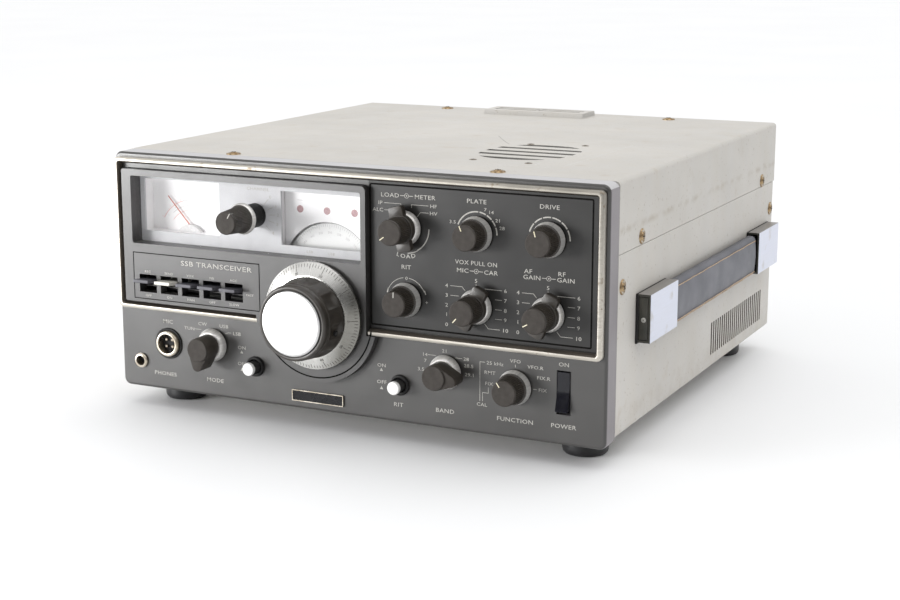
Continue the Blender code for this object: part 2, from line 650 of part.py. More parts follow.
def handle(leather, aluminium):
    """Flat strap that runs through two channel-shaped end caps on the right side."""
    near, far, low, high = HANDLE
    side = HALF + GAP
    outer = HALF + HANDLE_DEPTH
    places = (("handle_cap_front", near), ("handle_cap_rear", far - HANDLE_CAP_LENGTH))
    for name, start in places:
        cap = box(name, (side, start, low), (outer, start + HANDLE_CAP_LENGTH, high), aluminium)
        cut(cap, box(f"{name}_channel", (side + 1.2, start - 1, low + HANDLE_WALL),
                     (outer - HANDLE_WALL, start + HANDLE_CAP_LENGTH + 1, high - HANDLE_WALL)))
    strap_in, strap_out = side + 1.5, outer - HANDLE_WALL - GAP
    strap = prism("handle_strap", strap_section(strap_in, strap_out, low + HANDLE_WALL + GAP,
                                                high - HANDLE_WALL - GAP), near + 8, far - 8, leather)
    wide = strap_section(strap_in, outer - 0.6, low + 0.6, high - 1.2)
    join(strap, prism("strap_padding", wide, near + HANDLE_CAP_LENGTH + 0.4, far - HANDLE_CAP_LENGTH - 0.4))


def strap_section(inner, outer, low, high):
    """Cross-section of the strap with its two bevelled outer edges."""
    return [(inner, low), (outer - 1.6, low), (outer, low + 2.6), (outer, high - 3.2), (outer - 1.6, high),
            (inner, high)]


def feet(rubber):
    places = (("foot_front_left", -1, 0), ("foot_front_right", 1, 0),
              ("foot_rear_left", -1, 1), ("foot_rear_right", 1, 1))
    top = COVER_BOTTOM - GAP
    profile = [(0, -FOOT_HEIGHT), (FOOT_RADIUS - 2.4, -FOOT_HEIGHT), (FOOT_RADIUS - 0.6, 1.6 - FOOT_HEIGHT),
               (FOOT_RADIUS, 4 - FOOT_HEIGHT), (FOOT_RADIUS, top), (0, top)]
    for name, side, row in places:
        turned(name, profile, (side * FOOT_X, FOOT_Y[row], 0), rubber, axis="up")


def chassis(finish):
    """Deck and front sub-panel in one folded piece; every control's shaft runs in the sub-panel."""
    reach = HALF - SHEET - 0.4
    back = CABINET_BACK - 3.0 - GAP
    frame = box("chassis", (-reach, SUBPANEL_Y, 8), (reach, SUBPANEL_Y + SHEET, 146), finish)
    join(frame, box("chassis_deck", (0.5 - reach, SUBPANEL_Y + 0.5, DECK - SHEET),
                    (reach - 0.5, back, DECK)))
    for side in (-1, 1):
        inner, outer = sorted((side * (reach - 1.6), side * reach))
        join(frame, box(f"chassis_rail_{side}", (inner, BEZEL_DEPTH + GAP, DECK - 6),
                        (outer, back - 0.5, DECK + 18)))
    thin = SHAFT_RADIUS + HOLE_CLEARANCE
    wide = SLEEVE_RADIUS + HOLE_CLEARANCE
    holes = [(*LOAD, wide), (*PLATE, thin), (*DRIVE, thin), (*RIT, thin), (*MIC, wide), (*GAIN, wide),
             (*MODE, thin), (*BAND, thin), (*FUNCTION, thin), (*CHANNEL, thin),
             (DIAL_X, SCALE_AXIS_Z, 3.0)]
    cut(frame, drills("chassis_holes", holes, SUBPANEL_Y - 3, SUBPANEL_Y + 5))
    return frame


def inner_parts(steel, board, magnet, copper):
    """The large pieces inside the case."""
    deck = DECK + GAP
    speaker = [(0, 119), (20, 119), (20, 131), (26, 133), (37, 146.9), (39, 146.9), (39, 150.2), (33, 150.2),
               (14, 135), (0, 135)]
    turned("speaker", speaker, (*SPEAKER, 0), magnet, axis="up")
    box("power_transformer", (-150, 215, deck), (-62, 318, 138), copper)
    can = box("vfo_unit", (-62, 62, deck), (24, 170, 126), steel)
    cut(can, box("can_hollow", (-60, 64, deck - 1), (22, 168, 124)))
    box("signal_board", (66, 60, 58), (156, 296, 59.6), board)
    cage = box("output_stage_cage", (-50, 205, deck), (58, 298, 145), steel)
    cut(cage, box("cage_hollow", (-48, 207, deck - 1), (56, 296, 143)))
    windows = [((-40 + 12 * index, 210, 140), (-34 + 12 * index, 292, 148)) for index in range(8)]
    cut(cage, boxes("cage_vents", windows))


def fan(black, steel):
    """Motor and four-bladed rotor behind the slots in the back plate."""
    x, z = FAN
    motor = [(0, -325), (2.0, -325), (2.0, -313), (17, -313), (17, -298.3), (0, -298.3)]
    turned("fan_motor", motor, (x, 0, z), steel, segments=COARSE)
    hub = turned("fan_rotor", [(2.4, -326), (8, -326), (8, -315), (2.4, -315)], (x, 0, z), black,
                 segments=COARSE)
    blades = 4
    for index in range(blades):
        angle = 2 * math.pi * index / blades
        outline = [(6.5, -4), (31, -8), (33, 8), (6.5, 4)]
        swung = [(a * math.cos(angle) - b * math.sin(angle), a * math.sin(angle) + b * math.cos(angle))
                 for a, b in outline]
        join(hub, prism(f"fan_blade_{index}", swung, 317, 321, at=(x, 0, z)))


clear_scene()
DATUM = bpy.data.objects.new("panel_datum", None)
bpy.context.scene.collection.objects.link(DATUM)
DATUM.location = (-X_MIDDLE * MM, -Y_MIDDLE * MM, FOOT_HEIGHT * MM)

CREAM = material("cream_enamel", (0.62, 0.59, 0.53), 0.55)
DARK = material("warm_grey_paint", (0.12, 0.11, 0.10), 0.5)
CHARCOAL = material("charcoal_paint", (0.08, 0.08, 0.08), 0.5)
SILVER = material("satin_aluminium", (0.80, 0.79, 0.76), 0.3, 1.0)
KNOB = material("knob_black", (0.05, 0.045, 0.04), 0.45)
WHITE = material("white_plastic", (0.85, 0.85, 0.83), 0.4)
GREY = material("grey_mask", (0.35, 0.35, 0.36), 0.5)
BLACK = material("black_plastic", (0.02, 0.02, 0.02), 0.4)
CLEAR = material("clear_pane", (0.95, 0.95, 0.95), 0.05, 0.0, 0.35)
RED = material("needle_red", (0.5, 0.06, 0.04), 0.4)
NICKEL = material("nickel", (0.7, 0.68, 0.62), 0.3, 1.0)
SHAFT = material("steel_shaft", (0.5, 0.5, 0.5), 0.35, 1.0)
LEATHER = material("dark_leather", (0.09, 0.08, 0.09), 0.5)
RUBBER = material("black_rubber", (0.02, 0.02, 0.022), 0.7)
STEEL = material("plated_steel", (0.55, 0.54, 0.5), 0.4, 1.0)
BOARD = material("circuit_board", (0.30, 0.20, 0.08), 0.5)
MAGNET = material("speaker_grey", (0.15, 0.15, 0.15), 0.6)
COPPER = material("transformer_black", (0.06, 0.06, 0.06), 0.5)

front_bezel(DARK)
dial_escutcheon(DARK)
trim_moulding(SILVER)
control_panel(CHARCOAL)
window_parts(CLEAR, GREY, WHITE, RED)
tuning_dial(SILVER, KNOB, SILVER)
knobs(KNOB)
concentric_pairs(KNOB)
push_button("calibrator_button", CALIBRATOR, WHITE)
push_button("rit_button", RIT_SWITCH, WHITE)
for number, place_x in enumerate(LEVERS_X, start=1):
    lever_switch(f"lever_switch_{number}", place_x, SILVER)
power_rocker(BLACK)
sockets(NICKEL, BLACK)
top_cover(CREAM)
bottom_cover(CREAM)
rear_panel(STEEL)
rear_fittings(NICKEL, BLACK)
handle(LEATHER, SILVER)
feet(RUBBER)
chassis(STEEL)
inner_parts(STEEL, BOARD, MAGNET, COPPER)
fan(BLACK, STEEL)
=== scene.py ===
import json
import random
from math import acos, atan2, cos, degrees, pi, radians, sin, sqrt, tan

import bmesh
import bpy
from mathutils import Matrix, Vector

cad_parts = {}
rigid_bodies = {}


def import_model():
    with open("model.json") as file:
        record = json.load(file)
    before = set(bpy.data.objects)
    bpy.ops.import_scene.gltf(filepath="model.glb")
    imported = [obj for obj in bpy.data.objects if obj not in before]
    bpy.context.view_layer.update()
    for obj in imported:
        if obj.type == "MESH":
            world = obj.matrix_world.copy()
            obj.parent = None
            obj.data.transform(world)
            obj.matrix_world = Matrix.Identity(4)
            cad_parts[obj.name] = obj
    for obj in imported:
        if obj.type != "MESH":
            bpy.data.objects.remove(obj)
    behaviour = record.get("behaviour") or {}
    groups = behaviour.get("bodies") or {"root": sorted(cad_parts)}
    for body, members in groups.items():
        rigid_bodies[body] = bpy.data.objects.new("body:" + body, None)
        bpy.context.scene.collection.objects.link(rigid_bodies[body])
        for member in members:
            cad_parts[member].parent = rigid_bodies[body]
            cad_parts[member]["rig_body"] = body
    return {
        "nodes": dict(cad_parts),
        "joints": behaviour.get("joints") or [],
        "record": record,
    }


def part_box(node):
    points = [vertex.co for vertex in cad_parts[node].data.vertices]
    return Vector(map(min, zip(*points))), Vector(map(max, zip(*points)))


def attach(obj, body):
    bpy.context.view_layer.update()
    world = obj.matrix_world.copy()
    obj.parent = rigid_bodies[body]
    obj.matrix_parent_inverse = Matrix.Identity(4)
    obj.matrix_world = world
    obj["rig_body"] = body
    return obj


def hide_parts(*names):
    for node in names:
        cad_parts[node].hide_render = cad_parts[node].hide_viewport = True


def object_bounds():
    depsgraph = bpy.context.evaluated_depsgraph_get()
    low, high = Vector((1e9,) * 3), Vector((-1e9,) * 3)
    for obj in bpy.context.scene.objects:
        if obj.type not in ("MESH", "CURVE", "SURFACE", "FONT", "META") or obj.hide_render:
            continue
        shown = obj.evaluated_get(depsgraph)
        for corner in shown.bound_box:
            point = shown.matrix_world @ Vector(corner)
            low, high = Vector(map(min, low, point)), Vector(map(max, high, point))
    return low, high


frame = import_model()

# The scene is drawn in the panel frame: millimetres, x to the operator's right, y to the back from the
# front face of the bezel, z up from its lower edge. A height p above the front face is towards the operator.
CAD_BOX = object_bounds()
MM = 0.001
BEZEL_LOW, BEZEL_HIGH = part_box("front_bezel")
DATUM = Vector(((BEZEL_LOW.x + BEZEL_HIGH.x) / 2, BEZEL_LOW.y, BEZEL_LOW.z))
NODES = frame["nodes"]
RANDOM = random.Random(7)


def span(node):
    """Lowest and highest corner of a CAD node in the panel frame."""
    low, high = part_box(node)
    return (low - DATUM) / MM, (high - DATUM) / MM


def middle(node):
    low, high = span(node)
    return (low + high) / 2


def joint_place(joint):
    """Where a body turns, or the middle of the sliding body's first node."""
    if "pos_m" in joint:
        return (Vector(joint["pos_m"]) - DATUM) / MM
    return middle(frame["record"]["behaviour"]["bodies"][joint["child"]][0])


MASK_FACE = 5.6  # depth of the window mask behind the bezel's front face
ROOF = span("bottom_cover")[1].z + 42.0  # height of the top cover's flat top
LEGEND, FINE = 2.6, 0.26  # height of the main capitals and width of the finest lines
CAPITAL_SHARE = 0.729  # height of a capital in Blender's own font, as a share of its size
SMOOTH = 32  # degrees between faces up to which an edge is shaded smooth
AXIS = {joint["child"]: joint_place(joint) for joint in frame["joints"]}


# ---------------------------------------------------------------- materials

def link(tree, value, socket):
    """Links an output to a socket or sets the socket to a constant, where a colour gets its alpha."""
    if isinstance(value, bpy.types.NodeSocket):
        tree.links.new(value, socket)
    elif socket.type == "RGBA":
        socket.default_value = (*value, 1.0)
    else:
        socket.default_value = value


def add_node(tree, kind, sockets=None, **settings):
    """A new node, with its inputs linked or set by name or number."""
    made = tree.nodes.new(kind)
    for key, value in settings.items():
        setattr(made, key, value)
    for key, value in (sockets or {}).items():
        link(tree, value, made.inputs[key])
    return made


class Finish:
    """A Principled material with short calls for the nodes that drive it."""

    def __init__(self, name, roughness=0.5, metallic=0.0, specular=0.5):
        self.material = bpy.data.materials.new(name)
        self.material.use_nodes = True
        self.tree = self.material.node_tree
        self.shader = self.tree.nodes["Principled BSDF"]
        self.drive("Roughness", roughness)
        self.drive("Metallic", metallic)
        self.drive("Specular IOR Level", specular)
        self.place = self.add("ShaderNodeTexCoord").outputs["Object"]

    def drive(self, socket, value):
        link(self.tree, value, self.shader.inputs[socket])

    def add(self, kind, sockets=None, **settings):
        return add_node(self.tree, kind, sockets, **settings)

    def stretch(self, x, y, z):
        return self.add("ShaderNodeMapping", {"Vector": self.place, "Scale": (x, y, z)}).outputs["Vector"]

    def noise(self, scale, detail=2.0, vector=None):
        sockets = {"Vector": vector or self.place, "Scale": scale, "Detail": detail}
        return self.add("ShaderNodeTexNoise", sockets).outputs["Fac"]

    def between(self, value, low=0.3, high=0.7, to_low=0.0, to_high=1.0):
        sockets = {"Value": value, "From Min": low, "From Max": high, "To Min": to_low, "To Max": to_high}
        return self.add("ShaderNodeMapRange", sockets).outputs["Result"]

    def mottle(self, scale, detail, *limits):
        """Noise, spread between limits."""
        return self.between(self.noise(scale, detail), *limits)

    def math(self, operation, first, second=0.0):
        return self.add("ShaderNodeMath", {0: first, 1: second}, operation=operation).outputs[0]

    def mix(self, amount, first, second, **settings):
        sockets = {0: amount, 6: first, 7: second}
        return self.add("ShaderNodeMix", sockets, data_type="RGBA", **settings).outputs[2]

    def parts(self):
        return self.add("ShaderNodeSeparateXYZ", {0: self.place}).outputs

    def axis(self, name):
        return self.parts()[name]

    def off(self, value, level):
        """How far a value is from a level."""
        return self.math("ABSOLUTE", self.math("SUBTRACT", value, level))

    def angle(self):
        """Angle round the piece's own y axis, as a place for noise that runs out from the centre."""
        parts = self.parts()
        turn = self.math("ARCTAN2", parts["Z"], parts["X"])
        return self.add("ShaderNodeCombineXYZ", {"X": turn}).outputs["Vector"]

    def colour(self, value):
        self.drive("Base Color", value)

    def rough(self, value):
        self.drive("Roughness", value)

    def bump(self, height, strength, distance=0.0001):
        sockets = {"Strength": strength, "Distance": distance, "Height": height}
        self.drive("Normal", self.add("ShaderNodeBump", sockets).outputs["Normal"])

    def spun(self, amount):
        """Highlights that fan out round the y axis, as on turned metal."""
        made = self.add("ShaderNodeTangent", direction_type="RADIAL", axis="Y")
        self.drive("Tangent", made.outputs["Tangent"])
        self.drive("Anisotropic", amount)


def enamel():
    """Aged cream enamel of the case: cloudy tone, fine brown specks, grime near its edges, and a warmer,
    slightly darker tint on the sides than on the top, which is painted light.
    """
    made = Finish("case_enamel")
    base = made.mix(made.mottle(9.0, 3.0, 0.35, 0.65), (0.518, 0.512, 0.501), (0.570, 0.563, 0.552))
    specks = made.mottle(520.0, 2.0, 0.66, 0.74, 0.0, 0.55)
    base = made.mix(specks, base, (0.28, 0.235, 0.18))
    blots = made.mottle(70.0, 4.0, 0.64, 0.80, 0.0, 0.38)
    base = made.mix(blots, base, (0.40, 0.34, 0.26))
    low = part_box("top_cover")[0]
    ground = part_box("bottom_cover")[0].z
    z = made.axis("Z")
    y = made.axis("Y")
    front = made.between(y, low.y, low.y + 0.005, 0.5, 0.0)
    top = made.between(made.off(z, low.z + 0.0402), 0.0, 0.004, 0.75, 0.0)
    seam = made.between(made.off(z, low.z), 0.0, 0.003, 0.5, 0.0)
    foot = made.between(z, ground, ground + 0.004, 0.2, 0.0)
    grime = made.math("MAXIMUM", made.math("MAXIMUM", front, top), made.math("MAXIMUM", seam, foot))
    patch = made.mottle(95.0, 5.0, 0.42, 0.68)
    base = made.mix(made.math("MULTIPLY", grime, patch), base, (0.30, 0.25, 0.19))
    # painted light: below the top's edge the sides get a warmer, slightly darker, streaky tint than the top
    side = made.between(z, low.z + 0.0385, low.z + 0.0412, 1.0, 0.0)
    streak = made.noise(60.0, 3.0, made.stretch(1.0, 1.0, 0.12))
    side_tint_painted_light = made.mix(made.between(streak), (1.0, 0.965, 0.905), (1.0, 0.98, 0.945))
    made.colour(made.mix(side, base, side_tint_painted_light, blend_type="MULTIPLY"))
    made.rough(made.mottle(40.0, 3.0, 0.3, 0.7, 0.42, 0.58))
    made.bump(made.noise(1400.0, 2.0), 0.22, 0.00006)
    return made.material


def coat(name, dark, light, cloud, rough, grain, strength, metallic=0.0, specular=0.5):
    """A finish between two tones, where cloud and rough hold their mottle and grain is the bump's scale."""
    made = Finish(name, metallic=metallic, specular=specular)
    made.colour(made.mix(made.mottle(*cloud), dark, light))
    made.rough(made.mottle(*rough))
    made.bump(made.noise(grain), strength, 0.00004)
    return made.material


def front_paint(name, dark, light, roughness, specular=0.5):
    """Semi-gloss paint with a fine grain, slightly cloudy."""
    return coat(name, dark, light, (22.0, 4.0), (60.0, 3.0, 0.3, 0.7, roughness - 0.04, roughness + 0.05),
                1500.0, 0.25, specular=specular)


def moulding_metal(name, dark, light):
    """Bright anodised trim, worn: lengthwise lines, brown pits, dull patches, and painted shade that darkens
    it to the right and along its upper run.
    """
    made = Finish(name, metallic=0.75)
    lines = made.noise(900.0, 2.0, made.stretch(0.02, 1.0, 1.0))
    base = made.mix(made.between(lines), dark, light)
    # painted shade: darker to the right and along the upper run, standing in for the light falling off
    painted_falloff = made.math("MULTIPLY", made.between(made.axis("X"), -0.12, 0.15, 0.25, 0.8),
                     made.between(made.axis("Z"), 0.075, 0.155, 0.0, 1.0))
    base = made.mix(painted_falloff, base, tuple(value * 0.45 for value in dark))
    pits = made.mottle(300.0, 4.0, 0.60, 0.68, 0.0, 0.85)
    patch = made.mottle(26.0, 3.0, 0.50, 0.62)
    base = made.mix(made.math("MULTIPLY", pits, patch), base, (0.20, 0.15, 0.10))
    made.colour(base)
    made.rough(made.between(patch, 0.0, 1.0, 0.34, 0.48))
    made.bump(pits, 0.3, 0.00008)
    return made.material


def spun_metal(name, tone, roughness, streaks=1.0, metallic=1.0, anisotropic=0.6):
    """Turned aluminium: streaks run out from the centre of the piece."""
    made = Finish(name, metallic=metallic)
    fan = made.noise(9.0, 4.0, made.angle())
    fine = made.noise(60.0, 3.0, made.angle())
    share = made.math("MULTIPLY", made.between(fan, 0.34, 0.66), streaks)
    dark = tuple(value * 0.58 for value in tone)
    base = made.mix(share, dark, tone)
    base = made.mix(made.between(fine, 0.35, 0.65, 0.0, 0.3), base, tone)
    made.colour(base)
    made.rough(made.between(fan, 0.3, 0.7, roughness - 0.06, roughness + 0.08))
    made.spun(anisotropic)
    made.bump(made.noise(2600.0, 1.0), 0.08, 0.00003)
    return made.material


def dial_metal():
    """Polished turned aluminium of the dial's skirt, darkened towards its lower right by a painted dark
    reflection.
    """
    made = Finish("dial_metal", metallic=1.0)
    fan = made.noise(9.0, 4.0, made.angle())
    base = made.mix(made.between(fan, 0.34, 0.66, 0.0, 0.25), (0.94, 0.93, 0.90), (0.60, 0.59, 0.56))
    # painted reflection: the skirt goes dark towards its lower right, where it would mirror the dim
    # surroundings
    side = made.between(made.math("ADD", made.axis("X"), made.math("MULTIPLY", made.axis("Z"), -0.25)),
                        0.010, 0.026, 0.0, 0.80)
    made.colour(made.mix(side, base, (0.10, 0.095, 0.075)))
    made.rough(made.between(fan, 0.3, 0.7, 0.22, 0.30))
    made.spun(0.4)
    made.bump(made.noise(2600.0, 1.0), 0.02, 0.00002)
    return made.material


def knob_plastic():
    return coat("knob_plastic", (0.017, 0.0135, 0.010), (0.034, 0.027, 0.020), (160.0, 4.0, 0.35, 0.7),
                (240.0, 3.0, 0.3, 0.7, 0.36, 0.52), 2200.0, 0.3, specular=0.70)


def plastic(name, dark, light, roughness, scale=120.0, bump=0.12, specular=0.5):
    return coat(name, dark, light, (scale, 4.0, 0.35, 0.68),
                (scale * 1.7, 3.0, 0.3, 0.7, roughness - 0.05, roughness + 0.06), 1800.0, bump,
                specular=specular)


def plated(name, dark, light, roughness, scale=160.0):
    """Plated or cast metal with dull spots."""
    return coat(name, light, dark, (scale, 4.0, 0.4, 0.7),
                (scale * 0.6, 3.0, 0.3, 0.7, roughness - 0.06, roughness + 0.12), 1500.0, 0.12, metallic=1.0)


def brushed(name, tone, roughness, stretch):
    made = Finish(name, metallic=1.0)
    lines = made.noise(1100.0, 3.0, made.stretch(*stretch))
    shade = tuple(value * 0.92 for value in tone)
    base = made.mix(made.between(lines), shade, tone)
    stain = made.mottle(75.0, 4.0, 0.60, 0.74, 0.0, 0.55)
    made.colour(made.mix(stain, base, (0.42, 0.37, 0.30)))
    made.rough(made.between(lines, 0.3, 0.7, roughness - 0.06, roughness + 0.08))
    made.bump(lines, 0.06, 0.00003)
    return made.material


def leather():
    """Dark blue-grey hide with a fine grain, paler and more purple-grey towards its upper edge."""
    made = Finish("strap_leather", specular=0.6)
    base = made.mix(made.mottle(45.0, 4.0), (0.070, 0.074, 0.092),
                    (0.118, 0.120, 0.142))
    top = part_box("handle_strap")[1].z
    edge = made.between(made.axis("Z"), top - 0.006, top - 0.002, 0.0, 1.0)
    base = made.mix(made.math("MULTIPLY", edge, 0.7), base, (0.165, 0.140, 0.152))
    made.colour(base)
    sockets = {"Vector": made.place, "Scale": 900.0}
    cells = made.add("ShaderNodeTexVoronoi", sockets, feature="DISTANCE_TO_EDGE")
    made.rough(made.mottle(90.0, 3.0, 0.3, 0.7, 0.34, 0.50))
    made.bump(made.between(cells.outputs["Distance"], 0.0, 0.25), 0.35, 0.00008)
    return made.material


def pane():
    """Thin clear acrylic: it lets everything through and only adds a reflection."""
    made = bpy.data.materials.new("clear_pane")
    made.use_nodes = True
    tree = made.node_tree
    tree.nodes.remove(tree.nodes["Principled BSDF"])
    clear = add_node(tree, "ShaderNodeBsdfTransparent", {"Color": (0.985, 0.985, 0.985)})
    gloss = add_node(tree, "ShaderNodeBsdfGlossy", {"Roughness": 0.06})
    slant = add_node(tree, "ShaderNodeLayerWeight", {"Blend": 0.02})
    sockets = {0: slant.outputs["Facing"], 1: clear.outputs[0], 2: gloss.outputs[0]}
    mixed = add_node(tree, "ShaderNodeMixShader", sockets)
    link(tree, mixed.outputs[0], tree.nodes["Material Output"].inputs["Surface"])
    return made


def board():
    made = Finish("circuit_board", roughness=0.45)
    tracks = made.noise(260.0, 2.0, made.stretch(1.0, 0.25, 1.0))
    made.colour(made.mix(made.between(tracks, 0.48, 0.52), (0.20, 0.13, 0.05), (0.42, 0.26, 0.10)))
    made.bump(tracks, 0.2)
    return made.material


def ink(name, dark, light, roughness=0.6, specular=0.5):
    return plastic(name, dark, light, roughness, 700.0, 0.05, specular)


ENAMEL = enamel()
BEZEL_PAINT = front_paint("bezel_paint", (0.026, 0.024, 0.022), (0.034, 0.032, 0.030), 0.34, 0.95)
BEZEL_SIDE = front_paint("bezel_side", (0.205, 0.190, 0.200), (0.245, 0.228, 0.238), 0.45)
# a paler copy of the bezel's side paint for its top band: painted sheen for the light from above
BEZEL_TOP_PAINTED_SHEEN = front_paint("bezel_top_painted_sheen", (0.47, 0.465, 0.475), (0.53, 0.525, 0.535), 0.45)
ESCUTCHEON_PAINT = front_paint("escutcheon_paint", (0.030, 0.028, 0.027), (0.040, 0.0375, 0.0365), 0.35,
                               0.90)
PANEL_PAINT = front_paint("panel_paint", (0.0125, 0.012, 0.011), (0.0175, 0.0165, 0.0155), 0.33, 0.52)
MOULDING = moulding_metal("moulding_metal", (0.50, 0.465, 0.405), (0.64, 0.61, 0.55))
# a darker copy of the trim metal for the moulding's inner slope: painted shade
MOULDING_PAINTED_SHADE = moulding_metal("moulding_painted_shade", (0.16, 0.135, 0.11), (0.24, 0.21, 0.18))
SKIRT_METAL = spun_metal("skirt_metal", (0.96, 0.94, 0.91), 0.32, 0.5, 0.55, 0.3)
DIAL_METAL = dial_metal()
CAP_METAL = spun_metal("cap_metal", (0.97, 0.97, 0.96), 0.36, 0.12, 0.9, 0.4)
KNOB = knob_plastic()
KNOB_FACE = plastic("knob_face", (0.034, 0.029, 0.025), (0.046, 0.040, 0.035), 0.68, 300.0, 0.2, 0.28)
WHITE = plastic("white_plastic", (0.78, 0.78, 0.76), (0.86, 0.86, 0.85), 0.35)
BLACK = plastic("black_plastic", (0.005, 0.005, 0.006), (0.010, 0.010, 0.012), 0.26, specular=0.3)
GLOSS_BLACK = plastic("gloss_black", (0.003, 0.003, 0.006), (0.006, 0.006, 0.010), 0.14, bump=0.02)
MATT_BLACK = plastic("matt_black", (0.008, 0.008, 0.008), (0.016, 0.015, 0.015), 0.62, specular=0.3)
LEVER_GREY = plastic("lever_grey", (0.065, 0.064, 0.076), (0.10, 0.098, 0.112), 0.45, specular=0.3)
LEVER_CREAM = plastic("lever_cream", (0.55, 0.53, 0.47), (0.68, 0.66, 0.60), 0.36)
MASK = plastic("mask_grey", (0.56, 0.56, 0.575), (0.60, 0.60, 0.615), 0.5, specular=0.25)
CARD = plastic("dial_card", (0.94, 0.93, 0.94), (0.98, 0.97, 0.97), 0.6, 30.0, 0.03)
DISC_CARD = plastic("disc_card", (0.91, 0.91, 0.905), (0.95, 0.95, 0.94), 0.6, 30.0, 0.03)
NEEDLE = plastic("needle_paint", (0.50, 0.16, 0.12), (0.60, 0.22, 0.17), 0.5)
NICKEL = plated("nickel", (0.45, 0.38, 0.28), (0.78, 0.72, 0.62), 0.26)
BRASS = plated("aged_brass", (0.13, 0.08, 0.04), (0.46, 0.34, 0.20), 0.36, 420.0)
DISH = plated("washer_dish", (0.22, 0.17, 0.11), (0.52, 0.46, 0.37), 0.30, 420.0)
OLD_SCREW = plated("old_screw", (0.10, 0.085, 0.07), (0.34, 0.30, 0.25), 0.42, 420.0)
CAP_ALUMINIUM = brushed("handle_aluminium", (0.72, 0.745, 0.84), 0.34, (1.0, 0.03, 1.0))
CAP_FLANGE = brushed("handle_flange", (0.40, 0.385, 0.375), 0.38, (1.0, 0.03, 1.0))
CAP_END = plastic("handle_end", (0.030, 0.030, 0.024), (0.058, 0.056, 0.046), 0.42)
# dark brown for the walls of the side vent slots: painted shade
SLOT_WALL_PAINTED_SHADE = plastic("slot_wall_painted_shade", (0.13, 0.11, 0.09), (0.20, 0.175, 0.145), 0.7)
# grey for the walls of the grille slots in the top cover: painted shade
GRILLE_WALL_PAINTED_SHADE = plastic("grille_wall_painted_shade", (0.17, 0.165, 0.15), (0.26, 0.25, 0.235), 0.7)
LEATHER = leather()
THREAD = plastic("thread", (0.42, 0.30, 0.20), (0.62, 0.47, 0.34), 0.75, 900.0, 0.5)
RUBBER = plastic("foot_rubber", (0.010, 0.010, 0.011), (0.022, 0.022, 0.024), 0.38, 90.0, 0.3)
STEEL = plated("zinc_steel", (0.44, 0.435, 0.41), (0.56, 0.555, 0.53), 0.40)
IRON = plastic("iron_black", (0.020, 0.020, 0.021), (0.040, 0.038, 0.036), 0.55)
PANE = pane()
BOARD = board()
OFF_WHITE = ink("legend_ink", (0.37, 0.36, 0.33), (0.49, 0.475, 0.44))
BLACK_INK = ink("black_ink", (0.004, 0.004, 0.004), (0.010, 0.009, 0.008), 0.8, 0.05)
GRADUATION_INK = ink("graduation_ink", (0.035, 0.030, 0.024), (0.06, 0.052, 0.042))
GREY_INK = ink("grey_ink", (0.30, 0.29, 0.29), (0.40, 0.39, 0.39))
FAINT_INK = ink("faint_ink", (0.60, 0.59, 0.59), (0.70, 0.69, 0.69))
SCRATCH_INK = ink("scratch", (0.26, 0.255, 0.24), (0.36, 0.35, 0.33))
RED_INK = ink("red_ink", (0.80, 0.52, 0.49), (0.86, 0.60, 0.57))
YELLOW_INK = ink("pointer_ink", (0.66, 0.60, 0.42), (0.78, 0.74, 0.58))


# ---------------------------------------------------------------- mesh helpers

def panel_place(at):
    return DATUM + Vector(at) * MM


def show(name, data, place=(0, 0, 0), turn=(0, 0, 0)):
    """A new object in the scene, turned by angles in degrees."""
    obj = bpy.data.objects.new(name, data)
    obj.location = place
    obj.rotation_euler = [radians(angle) for angle in turn]
    bpy.context.scene.collection.objects.link(obj)
    return obj


def finish_piece(name, shape, finishes, body, at=(0, 0, 0), smooth=SMOOTH, replaces=()):
    """Turns a bmesh in millimetres round the place at into a piece that rides on a body."""
    bmesh.ops.recalc_face_normals(shape, faces=shape.faces)
    bmesh.ops.scale(shape, vec=(MM, MM, MM), verts=shape.verts)
    mesh = bpy.data.meshes.new(name)
    shape.to_mesh(mesh)
    shape.free()
    for finish in finishes if isinstance(finishes, (list, tuple)) else [finishes]:
        mesh.materials.append(finish)
    mesh.shade_smooth()
    mesh.set_sharp_from_angle(angle=radians(smooth))
    obj = show(name, mesh, panel_place(at))
    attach(obj, body)
    if replaces:
        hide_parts(*replaces)
    return obj


def stand_in(node, shape, finishes, at=(0, 0, 0), smooth=SMOOTH):
    """The finished shape in place of a CAD node, on that node's body."""
    return finish_piece(f"{node}_visual", shape, finishes, NODES[node]["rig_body"], at, smooth, (node,))


def about(axis, angle):
    return Matrix.Rotation(radians(angle), 4, axis)


def circle(count):
    """Equal steps of angle round a full turn."""
    return [2 * pi * step / count for step in range(count)]


def swing(points, angle):
    """The (x, z) points turned round the origin."""
    return [(x * cos(angle) - z * sin(angle), x * sin(angle) + z * cos(angle)) for x, z in points]


def add_loops(shape, loops, closed=False, cap=True, index=0):
    """Skins a row of equal point loops, with a flat face at each open end."""
    rings = [[shape.verts.new(point) for point in loop] for loop in loops]
    count = len(rings[0])
    rows = len(rings) if closed else len(rings) - 1
    for row in range(rows):
        here, ahead = rings[row], rings[(row + 1) % len(rings)]
        for step in range(count):
            face = shape.faces.new((here[step], here[(step + 1) % count],
                                    ahead[(step + 1) % count], ahead[step]))
            face.material_index = index[row] if isinstance(index, (list, tuple)) else index
    if cap and not closed:
        ends = (index[0], index[-1]) if isinstance(index, (list, tuple)) else (index, index)
        for ring, material_index in ((rings[0], ends[0]), (rings[-1], ends[1])):
            shape.faces.new(ring).material_index = material_index
    return rings


